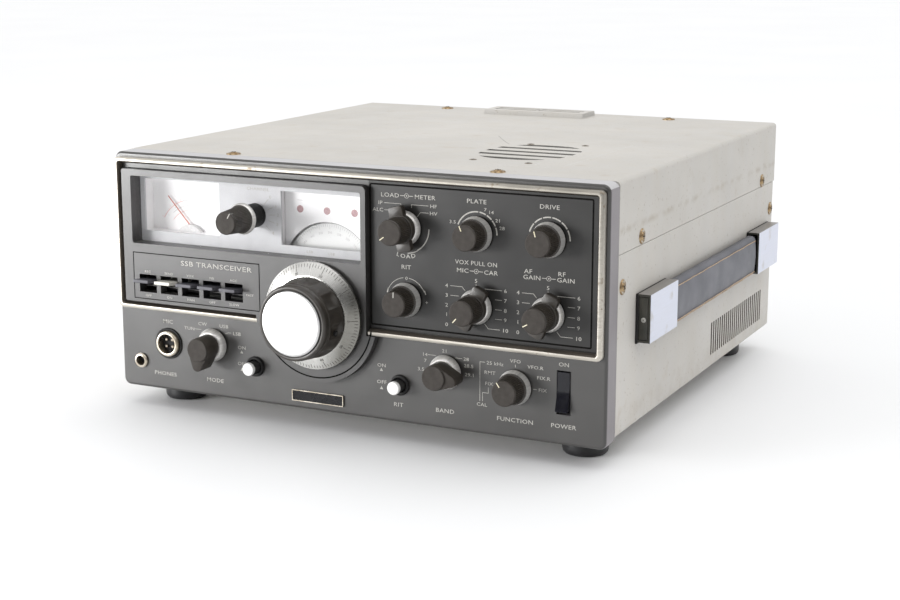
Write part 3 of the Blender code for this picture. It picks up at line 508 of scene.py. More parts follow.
def turn_loops(shape, profile, segments=96, index=0, wave=None, centre=(0, 0), closed=False):
    """A turned solid from (radius, p) points round the y axis. wave(angle, row) scales a row's radius."""
    loops = []
    for row, (radius, height) in enumerate(profile):
        loop = []
        for angle in circle(segments):
            reach = radius * (wave(angle, row) if wave else 1.0)
            loop.append((centre[0] + reach * cos(angle), -height, centre[1] + reach * sin(angle)))
        loops.append(loop)
    add_loops(shape, loops, closed=closed, index=index)


def turned(name, profile, axis, finishes, body, replaces=(), segments=96, index=0, closed=False):
    """A turned piece on its own, round an axis through a place."""
    shape = bmesh.new()
    turn_loops(shape, profile, segments, index, closed=closed)
    finish_piece(name, shape, finishes, body, (axis.x, 0, axis.z), replaces=replaces)


def add_box(shape, low, high, index=0, bevel=0.0, turn=None):
    """A block, bevelled if asked, and turned round its own place by a matrix."""
    made = bmesh.ops.create_cube(shape, size=1.0)["verts"]
    size = [b - a for a, b in zip(low, high)]
    centre = Vector([(a + b) / 2 for a, b in zip(low, high)])
    bmesh.ops.scale(shape, vec=size, verts=made)
    faces = {face for vert in made for face in vert.link_faces}
    for face in faces:
        face.material_index = index
    if bevel:
        edges = list({edge for vert in made for edge in vert.link_edges})
        result = bmesh.ops.bevel(shape, geom=edges, offset=bevel, segments=2, affect="EDGES", profile=0.5,
                                 material=-1)
        made = list({vert for face in result["faces"] for vert in face.verts} |
                    {vert for vert in made if vert.is_valid})
    if turn:
        bmesh.ops.transform(shape, matrix=turn, verts=made)
    bmesh.ops.translate(shape, vec=centre, verts=made)
    return made


def blocks(name, boxes, finishes, bevel=0.0):
    """A piece made of blocks, each given as its low corner, high corner and finish index."""
    shape = bmesh.new()
    for low, high, index in boxes:
        add_box(shape, low, high, index, bevel)
    finish_piece(name, shape, finishes, "cabinet")


def arc(centre, radius, start, end, steps=24):
    points = []
    for step in range(steps + 1):
        angle = radians(start + (end - start) * step / steps)
        points.append((centre[0] + radius * cos(angle), centre[1] + radius * sin(angle)))
    return points


def polar(centre, radius, angle):
    return arc(centre, radius, angle, angle, 1)[0]


def rounded(low_a, high_a, low_b, high_b, radius, steps=6):
    outline = []
    for a, b, start in ((high_a - radius, low_b + radius, -90), (high_a - radius, high_b - radius, 0),
                        (low_a + radius, high_b - radius, 90), (low_a + radius, low_b + radius, 180)):
        outline += arc((a, b), radius, start, start + 90, steps)
    return outline


def softened(node, finish, width=0.0, smooth=30, near=None, segments=2):
    """A copy of a CAD node with its flat faces made whole and its edges rounded, in place of the node.

    near(edge) picks the edges to round; without it every sharp edge is rounded."""
    shape = bmesh.new()
    shape.from_mesh(NODES[node].data)
    for vert in shape.verts:
        vert.co = (vert.co - DATUM) / MM
    bmesh.ops.remove_doubles(shape, verts=shape.verts, dist=0.002)
    bmesh.ops.dissolve_limit(shape, angle_limit=radians(0.5), verts=shape.verts, edges=shape.edges)
    for face in shape.faces:
        face.material_index = 0
    if width:
        sharp = [edge for edge in shape.edges if len(edge.link_faces) == 2
                 and edge.calc_face_angle(0) > radians(smooth) and (near is None or near(edge))]
        bmesh.ops.bevel(shape, geom=sharp, offset=width, segments=segments, affect="EDGES", profile=0.5,
                        clamp_overlap=True, material=-1)
    made = stand_in(node, shape, finish, smooth=smooth)
    level = made.modifiers.new("level_faces", "WEIGHTED_NORMAL")
    level.keep_sharp = True
    level.weight = 100
    return made


class Print:
    """Printed or engraved marks on a flat face at a height, as one mesh of thin closed shapes."""

    def __init__(self, height=0.0, lift=0.05):
        self.shape = bmesh.new()
        self.height = height
        self.lift = lift

    def polygon(self, outline):
        heights = (self.height - 0.03, self.height + self.lift)
        add_loops(self.shape, [[(x, -p, z) for x, z in outline] for p in heights])

    def line(self, points, width=0.35):
        """A line of even width through the points."""
        count = len(points)
        left, right = [], []
        for index, (x, z) in enumerate(points):
            before = Vector(points[max(index - 1, 0)])
            after = Vector(points[min(index + 1, count - 1)])
            here = Vector((x, z))
            ahead = (after - here).normalized() if index < count - 1 else (here - before).normalized()
            behind = (here - before).normalized() if index > 0 else ahead
            way = (ahead + behind).normalized()
            side = Vector((-way.y, way.x)) * width / 2 / max(0.5, way.dot(ahead))
            left.append(here + side)
            right.append(here - side)
        for index in range(count - 1):
            self.polygon([left[index], left[index + 1], right[index + 1], right[index]])

    def lines(self, place, width, *paths):
        """Lines of one width, their points counted from a place on the panel."""
        for path in paths:
            self.line([(place.x + x, place.z + z) for x, z in path], width)

    def arc(self, centre, radius, start, end, width=0.35):
        self.line(arc(centre, radius, start, end, max(4, int(abs(end - start) / 6))), width)

    def disc(self, centre, radius, steps=20):
        self.polygon(arc(centre, radius, 0, 360 * (steps - 1) / steps, steps - 1))

    def triangle(self, x, z, size):
        self.polygon([(x - size, z - 0.8 * size), (x + size, z - 0.8 * size), (x, z + 0.9 * size)])

    def text(self, text, x, z, size=LEGEND, turn=0.0, stretch=1.22, place=None, wide=None):
        """Capitals of the given height, centred on (x, z), drawn out to a width if one is given."""
        curve = bpy.data.curves.new("legend", "FONT")
        curve.body = text
        curve.size = size / CAPITAL_SHARE
        curve.align_x = "CENTER"
        curve.space_character = 1.06
        curve.offset = size * 0.002
        curve.resolution_u = 2
        curve.extrude = 0.04
        holder = bpy.data.objects.new("legend", curve)
        mesh = bpy.data.meshes.new_from_object(holder)
        centred = Matrix.Translation((0, -size / 2, 0))
        if wide:
            reach = [vert.co.x for vert in mesh.vertices]
            stretch = wide / (max(reach) - min(reach))
        sized = Matrix.Diagonal((stretch, 1, 1, 1))
        if place is None:
            place = Matrix.Translation((x, -self.height, z)) @ about("X", 90) @ about("Z", turn)
        mesh.transform(place @ sized @ centred)
        self.shape.from_mesh(mesh)
        bpy.data.objects.remove(holder)
        bpy.data.curves.remove(curve)
        bpy.data.meshes.remove(mesh)

    def words(self, place, size, *entries):
        """Words of one size, each as its text, x and z from a place on the panel."""
        for text, x, z in entries:
            self.text(text, place.x + x, place.z + z, size)

    def done(self, name, finish, body="cabinet", at=(0, 0, 0)):
        finish_piece(name, self.shape, finish, body, at=at)


# ---------------------------------------------------------------- case

def at_front_rim(edge):
    """Edges round the outside of the bezel's front face."""
    low, high = span("front_bezel")
    for vert in edge.verts:
        x, y, z = vert.co
        outside = (x < low.x + 6 or x > high.x - 6 or z < low.z + 6 or z > high.z - 6)
        inside = low.x + 4.6 < x < high.x - 4.6 and low.z + 4.6 < z < high.z - 4.6
        if abs(y - low.y) > 0.05 or not outside or inside:
            return False
    return True


def paint_faces(piece, choose):
    """Gives each face the finish index that choose(centre, normal) returns; the centre is in mm."""
    for face in piece.data.polygons:
        index = choose(face.center / MM, face.normal)
        if index:
            face.material_index = index


def case_pieces():
    bezel = softened("front_bezel", [BEZEL_PAINT, BEZEL_SIDE, BEZEL_TOP_PAINTED_SHEEN], 1.9,
                     near=at_front_rim, segments=4)
    crest = span("front_bezel")[1].z

    def bezel_finish(centre, normal):
        if abs(normal.y) > 0.3 or centre.y < 1.4:
            return 0
        # faces turned up near the crest take the paler copy of the side paint, a painted sheen
        return 2 if normal.z > 0.5 and centre.z > crest - 3 else 1

    paint_faces(bezel, bezel_finish)

    top = softened("top_cover", [ENAMEL, GRILLE_WALL_PAINTED_SHADE], smooth=40)
    field = middle("speaker")

    # the upright walls inside the grille slots take the grey slot finish, painted shade
    def in_grille(centre, normal):
        inside = abs(centre.x - field.x) < 32 and abs(centre.y - field.y) < 38
        return 1 if inside and centre.z > crest - 2 and abs(normal.z) < 0.5 else 0

    paint_faces(top, in_grille)
    bottom = softened("bottom_cover", [ENAMEL, SLOT_WALL_PAINTED_SHADE], smooth=40)
    low, high = span("bottom_cover")

    # the walls inside the vent slots take the dark slot finish, painted shade
    def in_vent(centre, normal):
        inside = low.z + 6 < centre.z < low.z + 34 and low.y + 60 < centre.y < high.y - 10
        return 1 if inside and abs(centre.x) > high.x - 2 and abs(normal.x) < 0.5 else 0

    paint_faces(bottom, in_vent)
    softened("control_panel", PANEL_PAINT, 0.3)
    softened("dial_escutcheon", ESCUTCHEON_PAINT, 0.35)
    mask = softened("window_mask", [MASK, MATT_BLACK], 0.2, segments=1)
    paint_faces(mask, lambda centre, normal: 1 if centre.y < MASK_FACE - 0.1 else 0)
    stay = {
        "rear_panel": STEEL, "chassis": STEEL, "vfo_unit": STEEL, "output_stage_cage": STEEL,
        "fan_motor": STEEL, "speaker": IRON, "power_transformer": IRON, "signal_board": BOARD,
        "fan_rotor": MATT_BLACK, "scale_housing": CARD, "signal_meter": CARD,
        "window_pane": PANE, "mic_shaft": STEEL, "vfo_scale_disc": DISC_CARD,
    }
    for node, finish in stay.items():
        for material_slot in NODES[node].material_slots:
            material_slot.material = finish


def moulding():
    """Bevelled trim round the upper field, with a rounded crest, open where the dial's disc breaks it."""
    low, high = span("trim_moulding")
    dial_x = AXIS["tuning_dial"].x
    gap_left, gap_right = dial_x - 41.4, span("control_panel")[0].x + 0.9
    outer = [(gap_right, low.z)] + rounded(low.x, high.x, low.z, high.z, 3.0) + [(gap_left, low.z)]
    inset = 3.7
    inner = rounded(low.x + inset, high.x - inset, low.z + inset, high.z - inset, 1.0)
    inner = [(gap_right, low.z + inset)] + inner + [(gap_left, low.z + inset)]
    section = [(0.0, 0.3), (0.0, 4.0), (0.04, 4.35), (0.12, 4.6), (0.36, 4.85), (0.60, 5.0), (0.67, 4.9),
               (0.72, 4.6), (0.80, 3.8), (1.0, 2.4), (1.0, 0.3)]
    # from this point of the section inwards the slope takes the darker copy of the metal, painted shade
    painted_shade_from = 6
    shape = bmesh.new()
    loops = []
    for (xo, zo), (xi, zi) in zip(outer, inner):
        loops.append([(xo + (xi - xo) * t, -p, zo + (zi - zo) * t) for t, p in section])
    add_loops(shape, loops)
    shape.faces.ensure_lookup_table()
    for number in range((len(loops) - 1) * len(section)):
        if number % len(section) >= painted_shade_from:
            shape.faces[number].material_index = 1
    stand_in("trim_moulding", shape, [MOULDING, MOULDING_PAINTED_SHADE], smooth=50)


# ---------------------------------------------------------------- knobs

TEETH, TOOTH_DEPTH = 44, 0.055


def serration(*rows):
    """Fine grooves round the rows given, by index."""
    def wave(angle, row):
        return 1.0 - TOOTH_DEPTH * (0.5 + 0.5 * cos(TEETH * angle)) if row in rows else 1.0
    return wave


def knob_piece(node, shape, finishes):
    """The finished knob in place of its CAD node, on the axis its body turns round."""
    axis = AXIS[NODES[node]["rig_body"]]
    stand_in(node, shape, finishes, (axis.x, 0, axis.z))


def pointer_line(shape, angle, inner, outer, front, down, width=0.55, index=2):
    """The painted line on a knob's front face, which runs over its edge and down the side."""
    turn = about("Y", -angle)
    for low, high in (((inner, -front - 0.06, -width / 2), (outer, -front + 0.05, width / 2)),
                      ((outer - 0.1, -front - 0.04, -width / 2), (outer + 0.42, -front + down, width / 2))):
        verts = bmesh.ops.create_cube(shape, size=1.0)["verts"]
        for vert in verts:
            vert.co = turn @ Vector([a if v < 0 else b for v, a, b in zip(vert.co, low, high)])
            for face in vert.link_faces:
                face.material_index = index


def plain_knob(node, line, line_finish=OFF_WHITE):
    """Knob with a bright skirt, a finely grooved side and a flat front face."""
    reach = -span(node)[0].y
    base, rise, skirt, side = (9.0, 3.2, 9.7, 8.05) if node == "channel_knob" else (1.2, 5.0, 10.3, 8.65)
    top = side - 1.0
    profile = [(4.0, base), (skirt - 0.3, base), (skirt, base + 0.3), (skirt, base + 0.6),
               (skirt - 0.1, base + 0.9), (side + 0.7, base + rise - 0.4), (side + 0.3, base + rise),
               (side, base + rise + 0.2), (side - 0.02, base + rise + 0.6), (top + 0.05, reach - 1.5),
               (top, reach - 1.0), (top - 0.15, reach - 0.45), (top - 0.45, reach - 0.1),
               (top - 0.7, reach - 0.02), (top - 0.9, reach - 0.02), (top - 1.2, reach - 0.02),
               (2.0, reach - 0.02)]
    index = [0, 0, 0, 0, 0, 1, 1, 1, 1, 1, 1, 3, 3, 3, 3, 3]
    shape = bmesh.new()
    turn_loops(shape, profile, 220, index, serration(8, 9))
    pointer_line(shape, line, top - 3.4, top - 0.55, reach, 4.5)
    knob_piece(node, shape, [SKIRT_METAL, KNOB, line_finish, KNOB_FACE])


def outline_grip(shape, outline, low, high, chamfer, index=1, face_index=3):
    """A grip of any outline round its axis, with its front edge rounded by shrinking the outline."""
    steps = [(0.0, low), (0.0, high - chamfer), (0.3 * chamfer, high - 0.3 * chamfer), (chamfer, high)]
    loops = []
    count = len(outline)
    for inset, height in steps:
        loop = []
        for step, (x, z) in enumerate(outline):
            before, after = Vector(outline[step - 1]), Vector(outline[(step + 1) % count])
            way = (after - before).normalized()
            loop.append((x - way.y * inset, -height, z + way.x * inset))
        loops.append(loop)
    add_loops(shape, loops, index=[index, index, face_index])


def pointer_knob(node):
    """Knob whose grip runs out into one wing, over a bright skirt."""
    reach = -span(node)[0].y
    pointing = radians(264 if node == "mode_knob" else -6)
    shape = bmesh.new()
    skirt = [(4.0, 1.2), (10.1, 1.2), (10.4, 1.5), (10.3, 2.1), (8.9, 5.6), (8.5, 5.9), (7.7, 5.95),
             (4.0, 6.0)]
    turn_loops(shape, skirt, 96, [0, 0, 0, 0, 0, 0, 1])
    grip, tip, length = 7.6, 3.4, 13.9
    tangent = degrees(acos((grip - tip) / (length - tip)))
    outline = arc((0, 0), grip, tangent, 360 - tangent, 40)
    outline += arc((length - tip, 0), tip, -tangent, tangent, 12)
    outline_grip(shape, swing(outline, pointing), 5.9, reach - 1.1, 0.5)
    cap = [(7.3, reach - 1.2), (7.15, reach - 0.35), (6.85, reach - 0.05), (6.6, reach), (6.3, reach),
           (2.0, reach)]
    turn_loops(shape, cap, 96, [1, 1, 3, 3, 3])
    knob_piece(node, shape, [SKIRT_METAL, KNOB, OFF_WHITE, KNOB_FACE])


def lever_ring(node, pointing):
    """Rear control of a concentric pair: bright skirt, hub and two opposite wings."""
    shape = bmesh.new()
    bore = 3.2
    profile = [(bore, 1.2), (10.0, 1.2), (10.3, 1.5), (10.2, 2.1), (9.2, 4.6), (8.8, 4.9), (8.65, 5.0),
               (8.6, 8.8), (8.3, 9.15), (bore, 9.2)]
    turn_loops(shape, profile, 96, [0, 0, 0, 0, 0, 0, 1, 1, 1, 1], closed=True)
    half, wing, nose = 4.6, 13.6, 1.8
    for side in (1, -1):
        outline = [(7.0, -half)] + arc((wing - nose, nose - half), nose, -90, 0, 4)
        outline += arc((wing - nose, half - nose), nose, 0, 90, 4) + [(7.0, half)]
        swung = [(side * x, side * z) for x, z in swing(outline, radians(pointing))]
        outline_grip(shape, swung, 4.6, 8.6, 0.45, face_index=1)
    knob_piece(node, shape, [SKIRT_METAL, KNOB])


def pair_front_knob(node, line):
    """Front control of a concentric pair."""
    reach = -span(node)[0].y
    profile = [(2.95, 9.6), (7.8, 9.6), (8.0, 9.8), (7.98, 10.3), (7.97, 10.8), (7.62, reach - 1.5),
               (7.58, reach - 1.0), (7.4, reach - 0.4), (7.1, reach - 0.1), (6.9, reach - 0.02),
               (6.5, reach - 0.02), (2.0, reach - 0.02)]
    shape = bmesh.new()
    turn_loops(shape, profile, 220, [0, 0, 0, 0, 0, 0, 0, 2, 2, 2, 2], serration(4, 5))
    pointer_line(shape, line, 4.2, 7.05, reach, 4.5, index=1)
    knob_piece(node, shape, [KNOB, YELLOW_INK, KNOB_FACE])


def tuning_dial():
    """Graduated skirt, scalloped grip with its set screw, and the spun cap."""
    axis = AXIS["tuning_dial"]
    skirt = [(5.7, 6.0), (32.6, 6.0), (33.0, 6.4), (33.0, 8.3), (32.85, 8.62), (32.4, 8.85), (25.6, 12.45),
             (25.2, 12.6), (5.7, 12.6)]
    turned("tuning_skirt_visual", skirt, axis, DIAL_METAL, "tuning_dial",
           ("tuning_skirt",), 192, closed=True)

    marks = Print()
    slope = atan2(12.45 - 8.85, 32.4 - 25.6)
    for step in range(100):
        angle = 2 * pi * step / 100
        inner = 28.0 if step % 10 == 0 else (29.4 if step % 5 == 0 else 30.3)
        turn = Matrix.Rotation(-angle, 4, "Y")
        corners = []
        for radius in (inner, 32.1):
            lift = 8.85 + (32.4 - radius) * tan(slope) + 0.04
            for side in (-0.14, 0.14):
                for height in (lift - 0.05, lift + 0.02):
                    corners.append(turn @ Vector((radius, -height, side)))
        verts = [marks.shape.verts.new(corner) for corner in corners]
        for face in ((0, 1, 3, 2), (4, 5, 7, 6), (0, 1, 5, 4), (2, 3, 7, 6), (0, 2, 6, 4), (1, 3, 7, 5)):
            marks.shape.faces.new([verts[corner] for corner in face])
    for step in range(10):
        angle = 2 * pi * step / 10
        radius = 27.0
        lift = 8.85 + (32.4 - radius) * tan(slope) + 0.06
        place = (Matrix.Rotation(-angle, 4, "Y") @ Matrix.Translation((radius, -lift, 0))
                 @ Matrix.Rotation(slope, 4, "Z") @ about("X", 90)
                 @ about("Z", -90))
        marks.text(str(10 * step), 0, 0, 1.7, place=place, stretch=1.0)
    marks.done("dial_graduations", GRADUATION_INK, "tuning_dial", at=(axis.x, 0, axis.z))

    def scallops(angle, row):
        if row not in (4, 5, 6, 7):
            return 1.0
        depth = (0.05, 0.075, 0.075, 0.05)[row - 4]
        return 1.0 - depth * max(0.0, cos(8 * (angle + radians(11)))) ** 0.6

    profile = [(5.3, 12.95), (24.5, 12.95), (24.8, 13.3), (24.75, 14.2), (24.5, 15.6), (24.2, 17.5),
               (23.7, 23.5), (23.5, 25.0), (23.35, 26.2), (23.25, 27.0), (22.95, 27.4), (22.95, 27.8),
               (23.15, 28.2), (22.9, 30.8), (22.6, 31.7), (22.0, 32.3), (21.4, 32.4), (20.6, 32.35),
               (20.25, 32.1), (20.2, 30.8)]
    shape = bmesh.new()
    turn_loops(shape, profile, 240, 0, scallops)
    finish_piece("tuning_knob_visual", shape, KNOB, "tuning_dial", (axis.x, 0, axis.z),
                 replaces=("tuning_knob",), smooth=40)
    screw = bmesh.new()
    turn = about("Y", 15)
    for radius, height, index in ((1.7, 0.05, 0), (1.1, 0.12, 1)):
        ring = [turn @ Vector((23.9 + lift, -19.5 + radius * cos(a), radius * sin(a)))
                for lift in (-1.2, height) for a in circle(20)]
        add_loops(screw, [ring[:20], ring[20:]], index=index)
    finish_piece("dial_set_screw", screw, [MATT_BLACK, IRON], "tuning_dial", at=(axis.x, 0, axis.z))

    cap = [(19.6, 31.15), (19.7, 31.3), (19.7, 32.9), (19.5, 33.2), (19.0, 33.42), (18.4, 33.48),
           (17.6, 33.45), (9.0, 33.3), (1.0, 33.25)]
    turned("tuning_cap_visual", cap, axis, CAP_METAL, "tuning_dial", ("tuning_cap",), 128)


def controls():
    plain_knob("plate_knob", 113, YELLOW_INK)
    plain_knob("drive_knob", 106, YELLOW_INK)
    plain_knob("rit_knob", 88)
    plain_knob("function_knob", 125, YELLOW_INK)
    plain_knob("channel_knob", 60)
    pointer_knob("mode_knob")
    pointer_knob("band_knob")
    lever_ring("meter_lever", 104)
    lever_ring("carrier_lever", 63)
    lever_ring("rf_gain_lever", 66)
    pair_front_knob("load_knob", 217)
    pair_front_knob("mic_knob", 228)
    pair_front_knob("audio_gain_knob", 208)

    for node in ("calibrator_button", "rit_button"):
        centre = middle(node)
        body = NODES[node]["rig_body"]
        profile = [(3.0, -13.5), (3.9, -13.5), (3.9, 6.9), (3.95, 7.1), (4.0, 7.3), (4.0, 8.9), (3.85, 9.35),
                   (3.5, 9.6), (1.0, 9.62)]
        turned(f"{node}_visual", profile, centre, [WHITE, IRON], body, (node,), 64,
               [1, 1, 1, 0, 0, 0, 0, 0])
        collar = [(4.25, -1.5), (6.3, -1.5), (6.3, 1.3), (6.0, 1.8), (5.2, 2.1), (4.7, 1.9), (4.25, 1.2)]
        turned(f"{node}_collar", collar, centre, MATT_BLACK, "cabinet", (), 64, closed=True)

    for number in range(1, 6):
        finish = LEVER_CREAM if number == 2 else LEVER_GREY
        softened(f"lever_switch_{number}", finish, 0.3)
    softened("power_rocker", GLOSS_BLACK, 0.35, smooth=24)


# ---------------------------------------------------------------- front details

def mic_socket():
    centre = middle("mic_socket")
    shape = bmesh.new()
    outer = [(6.3, -2.6), (8.6, -2.6), (8.6, 0.0), (8.45, 0.35), (8.4, 2.2), (8.1, 2.8), (7.4, 3.3),
             (6.9, 3.4), (6.45, 3.3), (6.3, 3.0)]
    turn_loops(shape, outer, 96, 0, closed=True)
    flange = [(8.7, 0.05), (10.0, 0.05), (10.0, 0.7), (9.7, 1.0), (8.7, 1.0)]
    turn_loops(shape, flange, 96, 1, closed=True)
    turn_loops(shape, [(6.25, -2.6), (6.25, -1.6), (5.9, -1.4), (1.0, -1.4)], 64, 1)
    for step in range(4):
        angle = radians(45 + 90 * step)
        pin = (3.1 * cos(angle), 3.1 * sin(angle))
        turn_loops(shape, [(0.95, -1.5), (0.95, -0.3), (0.75, 0.0), (0.2, 0.05)], 24, 2, centre=pin)
    add_box(shape, (-1.2, 0.6, -6.2), (1.2, 2.0, -4.6), 1)
    stand_in("mic_socket", shape, [NICKEL, MATT_BLACK, OLD_SCREW], (centre.x, 0, centre.z))


def phones_jack():
    centre = middle("phones_jack")
    shape = bmesh.new()
    ring = [(3.1, -3.0), (3.8, -3.0), (3.8, 0.2), (4.8, 0.3), (4.8, 1.2), (4.5, 1.6), (4.1, 1.9), (3.4, 2.0),
            (3.1, 1.7)]
    turn_loops(shape, ring, 64, 0, closed=True)
    turn_loops(shape, [(3.05, -3.0), (3.05, -2.4), (1.0, -2.4)], 48, 1)
    stand_in("phones_jack", shape, [NICKEL, MATT_BLACK], (centre.x, 0, centre.z))


def badge_plate():
    low, high = span("badge_plate")
    shape = bmesh.new()
    add_box(shape, (low.x, -0.9, low.z), (high.x, -0.3, high.z), 0)
    for a, b in (((low.x, low.z), (high.x, low.z + 0.45)), ((low.x, high.z - 0.45), (high.x, high.z)),
                 ((low.x, low.z + 0.45), (low.x + 0.45, high.z - 0.45)),
                 ((high.x - 0.45, low.z + 0.45), (high.x, high.z - 0.45))):
        add_box(shape, (a[0], -1.2, a[1]), (b[0], -0.85, b[1]), 1)
    stand_in("badge_plate", shape, [BLACK, NICKEL])


def lever_housing():
    """Dark plate behind the five levers, with a pale line behind each."""
    left, right = span("lever_switch_1")[0].x - 1.6, span("lever_switch_5")[1].x + 1.6
    _, y, z = AXIS["lever_1"]
    boxes = [((left, y + 4.6, z - 7.4), (right, y + 5.4, z + 7.4), 0)]
    for number in range(1, 6):
        x = AXIS[f"lever_{number}"].x
        boxes.append(((x - 6.2, 1.9, z - 2.95), (x + 6.2, 2.6, z - 2.6), 1))
    blocks("lever_housing", boxes, [MATT_BLACK, GREY_INK])


def rocker_frame():
    x, _, z = AXIS["power_switch"]
    low, high = z - 12.9, z + 12.9
    boxes = [((x - 4.25, 6.5, low), (x + 4.25, 7.2, high), 0)]
    for edge in (x - 4.12, x + 4.12):
        boxes.append(((edge - 0.14, -0.25, low), (edge + 0.14, 6.5, high), 0))
    blocks("rocker_frame", boxes, MATT_BLACK)


def meter_contents():
    """Printed arcs on the meter's card, the thin needle and the boss that hides its pivot."""
    pivot = AXIS["needle"]
    face = -span("signal_meter")[0].y - 7.5
    centre = (pivot.x - 0.5, pivot.z - 7.2)
    grey, red = Print(face), Print(face)
    for radius, target, start, end in ((24.5, grey, 48, 106), (21.2, grey, 50, 132), (24.5, red, 106, 150),
                                       (18.2, red, 62, 142)):
        target.arc(centre, radius, start, end, 0.35)
    for step in range(21):
        angle = 50 + 5 * step
        long = 2.0 if step % 4 == 0 else 1.1
        ends = [polar(centre, radius, angle) for radius in (24.5, 24.5 + long)]
        (red if angle > 106 else grey).line(ends, 0.2)
    for number, angle in (("1", 142), ("3", 124), ("5", 108), ("7", 92), ("9", 76)):
        x, z = polar(centre, 22.8, angle)
        grey.text(number, x, z, 1.3, stretch=1.0, turn=angle - 90)
    grey.done("meter_scale", FAINT_INK)
    red.done("meter_red_scale", RED_INK)

    tip_angle = radians(132)
    along = Vector((cos(tip_angle), 0, sin(tip_angle)))
    across = Vector((-along.z, 0, along.x))
    shape = bmesh.new()
    loops = []
    for reach, half in ((0.0, 0.55), (4.0, 0.34), (26.0, 0.2)):
        here = along * reach
        loops.append([tuple(here + across * half * a + Vector((0, 0.25 * b, 0)))
                      for a, b in ((-1, -1), (1, -1), (1, 1), (-1, 1))])
    add_loops(shape, loops)
    stand_in("meter_needle", shape, NEEDLE, pivot)

    boss = bmesh.new()
    floor = span("window_mask")[0].z + 8.3
    turn_loops(boss, [(1.0, -14.9), (10.6, -14.9), (10.6, -12.6), (10.1, -12.1), (1.0, -12.0)], 96)
    for vert in boss.verts:
        vert.co.z = max(vert.co.z, floor - centre[1])
    finish_piece("meter_boss", boss, FAINT_INK, "cabinet", at=(centre[0] - 0.5, 0, centre[1] - 1.2))


def scale_contents():
    """Scale card right behind the mask, cut round the turning disc, with three lamps."""
    low = span("window_mask")[0]
    disc = AXIS["scale_disc"]
    left, right, top = disc.x - 30.2, disc.x + 27.4, low.z + 41.2
    radius = 31.2
    edge = [(x, disc.z + sqrt(radius ** 2 - (x - disc.x) ** 2))
            for x in [right - (right - left) * step / 40 for step in range(41)]]
    shape = bmesh.new()
    outline = [(left, top), (right, top)] + edge
    back, front = MASK_FACE + 7.2, MASK_FACE + 7.0
    add_loops(shape, [[(x, back, z) for x, z in outline], [(x, front, z) for x, z in outline]])
    finish_piece("scale_card", shape, CARD, "cabinet")

    lamps, words = Print(-front), Print(-front)
    for offset in (-19.4, -0.6, 18.4):
        lamps.disc((disc.x + offset, disc.z + 38.2), 2.3)
        words.line([(disc.x + offset - 1.9, disc.z + 43.6), (disc.x + offset + 1.9, disc.z + 43.6)], 0.4)
    lamps.done("scale_lamps", ink("lamp_red", (0.40, 0.24, 0.25), (0.50, 0.33, 0.34), 0.3))
    words.done("scale_words", FAINT_INK)
    # a grey line along the card's cut edge: painted shadow of the gap in front of the disc
    rim = Print(-front)
    rim.line(edge, 0.3)
    rim.done("scale_rim_painted_shadow", GREY_INK)

    scale = Print(-14.6)
    for step in range(120):
        angle = 3 * step
        long = 3.0 if step % 5 == 0 else 1.6
        scale.line([polar((0, 0), radius, angle) for radius in (29.8, 29.8 - long)], 0.2)
    for step in range(24):
        angle = 15 * step
        x, z = polar((0, 0), 24.8, angle)
        scale.text(str((step * 50) % 600), x, z, 1.4, stretch=1.0, turn=angle - 90)
    scale.done("vfo_scale_marks", FAINT_INK, "scale_disc", at=(disc.x, 0, disc.z))


def window_contents():
    meter_contents()
    scale_contents()
    channel, disc = AXIS["channel_select"], AXIS["scale_disc"]
    mask = Print(-MASK_FACE)
    for step, angle in enumerate((48, 24, 4, -17, -40)):
        mask.line([polar((channel.x, channel.z), radius, angle) for radius in (9.5, 14.0)], 0.3)
        x, z = polar((channel.x, channel.z), 16.0, angle)
        mask.text(str(step), x, z, 2.0)
    mask.words(channel, 2.0, ("CHANNEL", 2.0, 16.3))
    mask.words(disc, 1.7, ("LSB", -9.0, 13.7), ("USB", 6.0, 13.5))
    mask.done("channel_marks", OFF_WHITE)


# ---------------------------------------------------------------- legends

def concentric_mark(marks, x, z):
    """Two rings with a dash on each side, the sign for a pair of controls on one axis."""
    marks.arc((x, z), 1.3, 0, 360, FINE)
    marks.disc((x, z), 0.45)
    marks.line([(x - 4.2, z), (x - 1.5, z)], 0.35)
    marks.line([(x + 1.5, z), (x + 4.2, z)], 0.35)


def gapped_arc(marks, centre, radius, start, end, gaps, width=0.75):
    """A painted arc with short gaps at the angles given."""
    edges = [start] + [angle + side for angle in gaps for side in (1.8, -1.8)] + [end]
    for first, last in zip(edges[::2], edges[1::2]):
        marks.arc(centre, radius, first, last, width)


def number_columns(marks, place, left, right):
    """Numerals 0 to 10 round a gain control: two columns, and the 5 above."""
    rows = (10.9, 5.2, -0.6, -6.2, -12.3)
    for step, rise in enumerate(rows):
        marks.words(place, 2.3, (str(4 - step), left, rise), (str(6 + step), right, rise))
    marks.words(place, 2.3, ("5", -0.3, 15.2))
    marks.lines(place, FINE, [(-0.3, 13.3), (-0.3, 10.8)],
                [(left + 2.4, rows[0]), (-9.2, rows[0]), (-7.3, 8.7)],
                [(left + 2.4, rows[1]), (-11.4, rows[1])], [(5.3, rows[0]), (right - 2.2, rows[0])],
                [(5.2, -9.6), (7.6, rows[4]), (right - 3.4, rows[4])])
    for rise in rows[1:4]:
        marks.lines(place, FINE, [(11.8, rise), (right - 2.2, rise)])


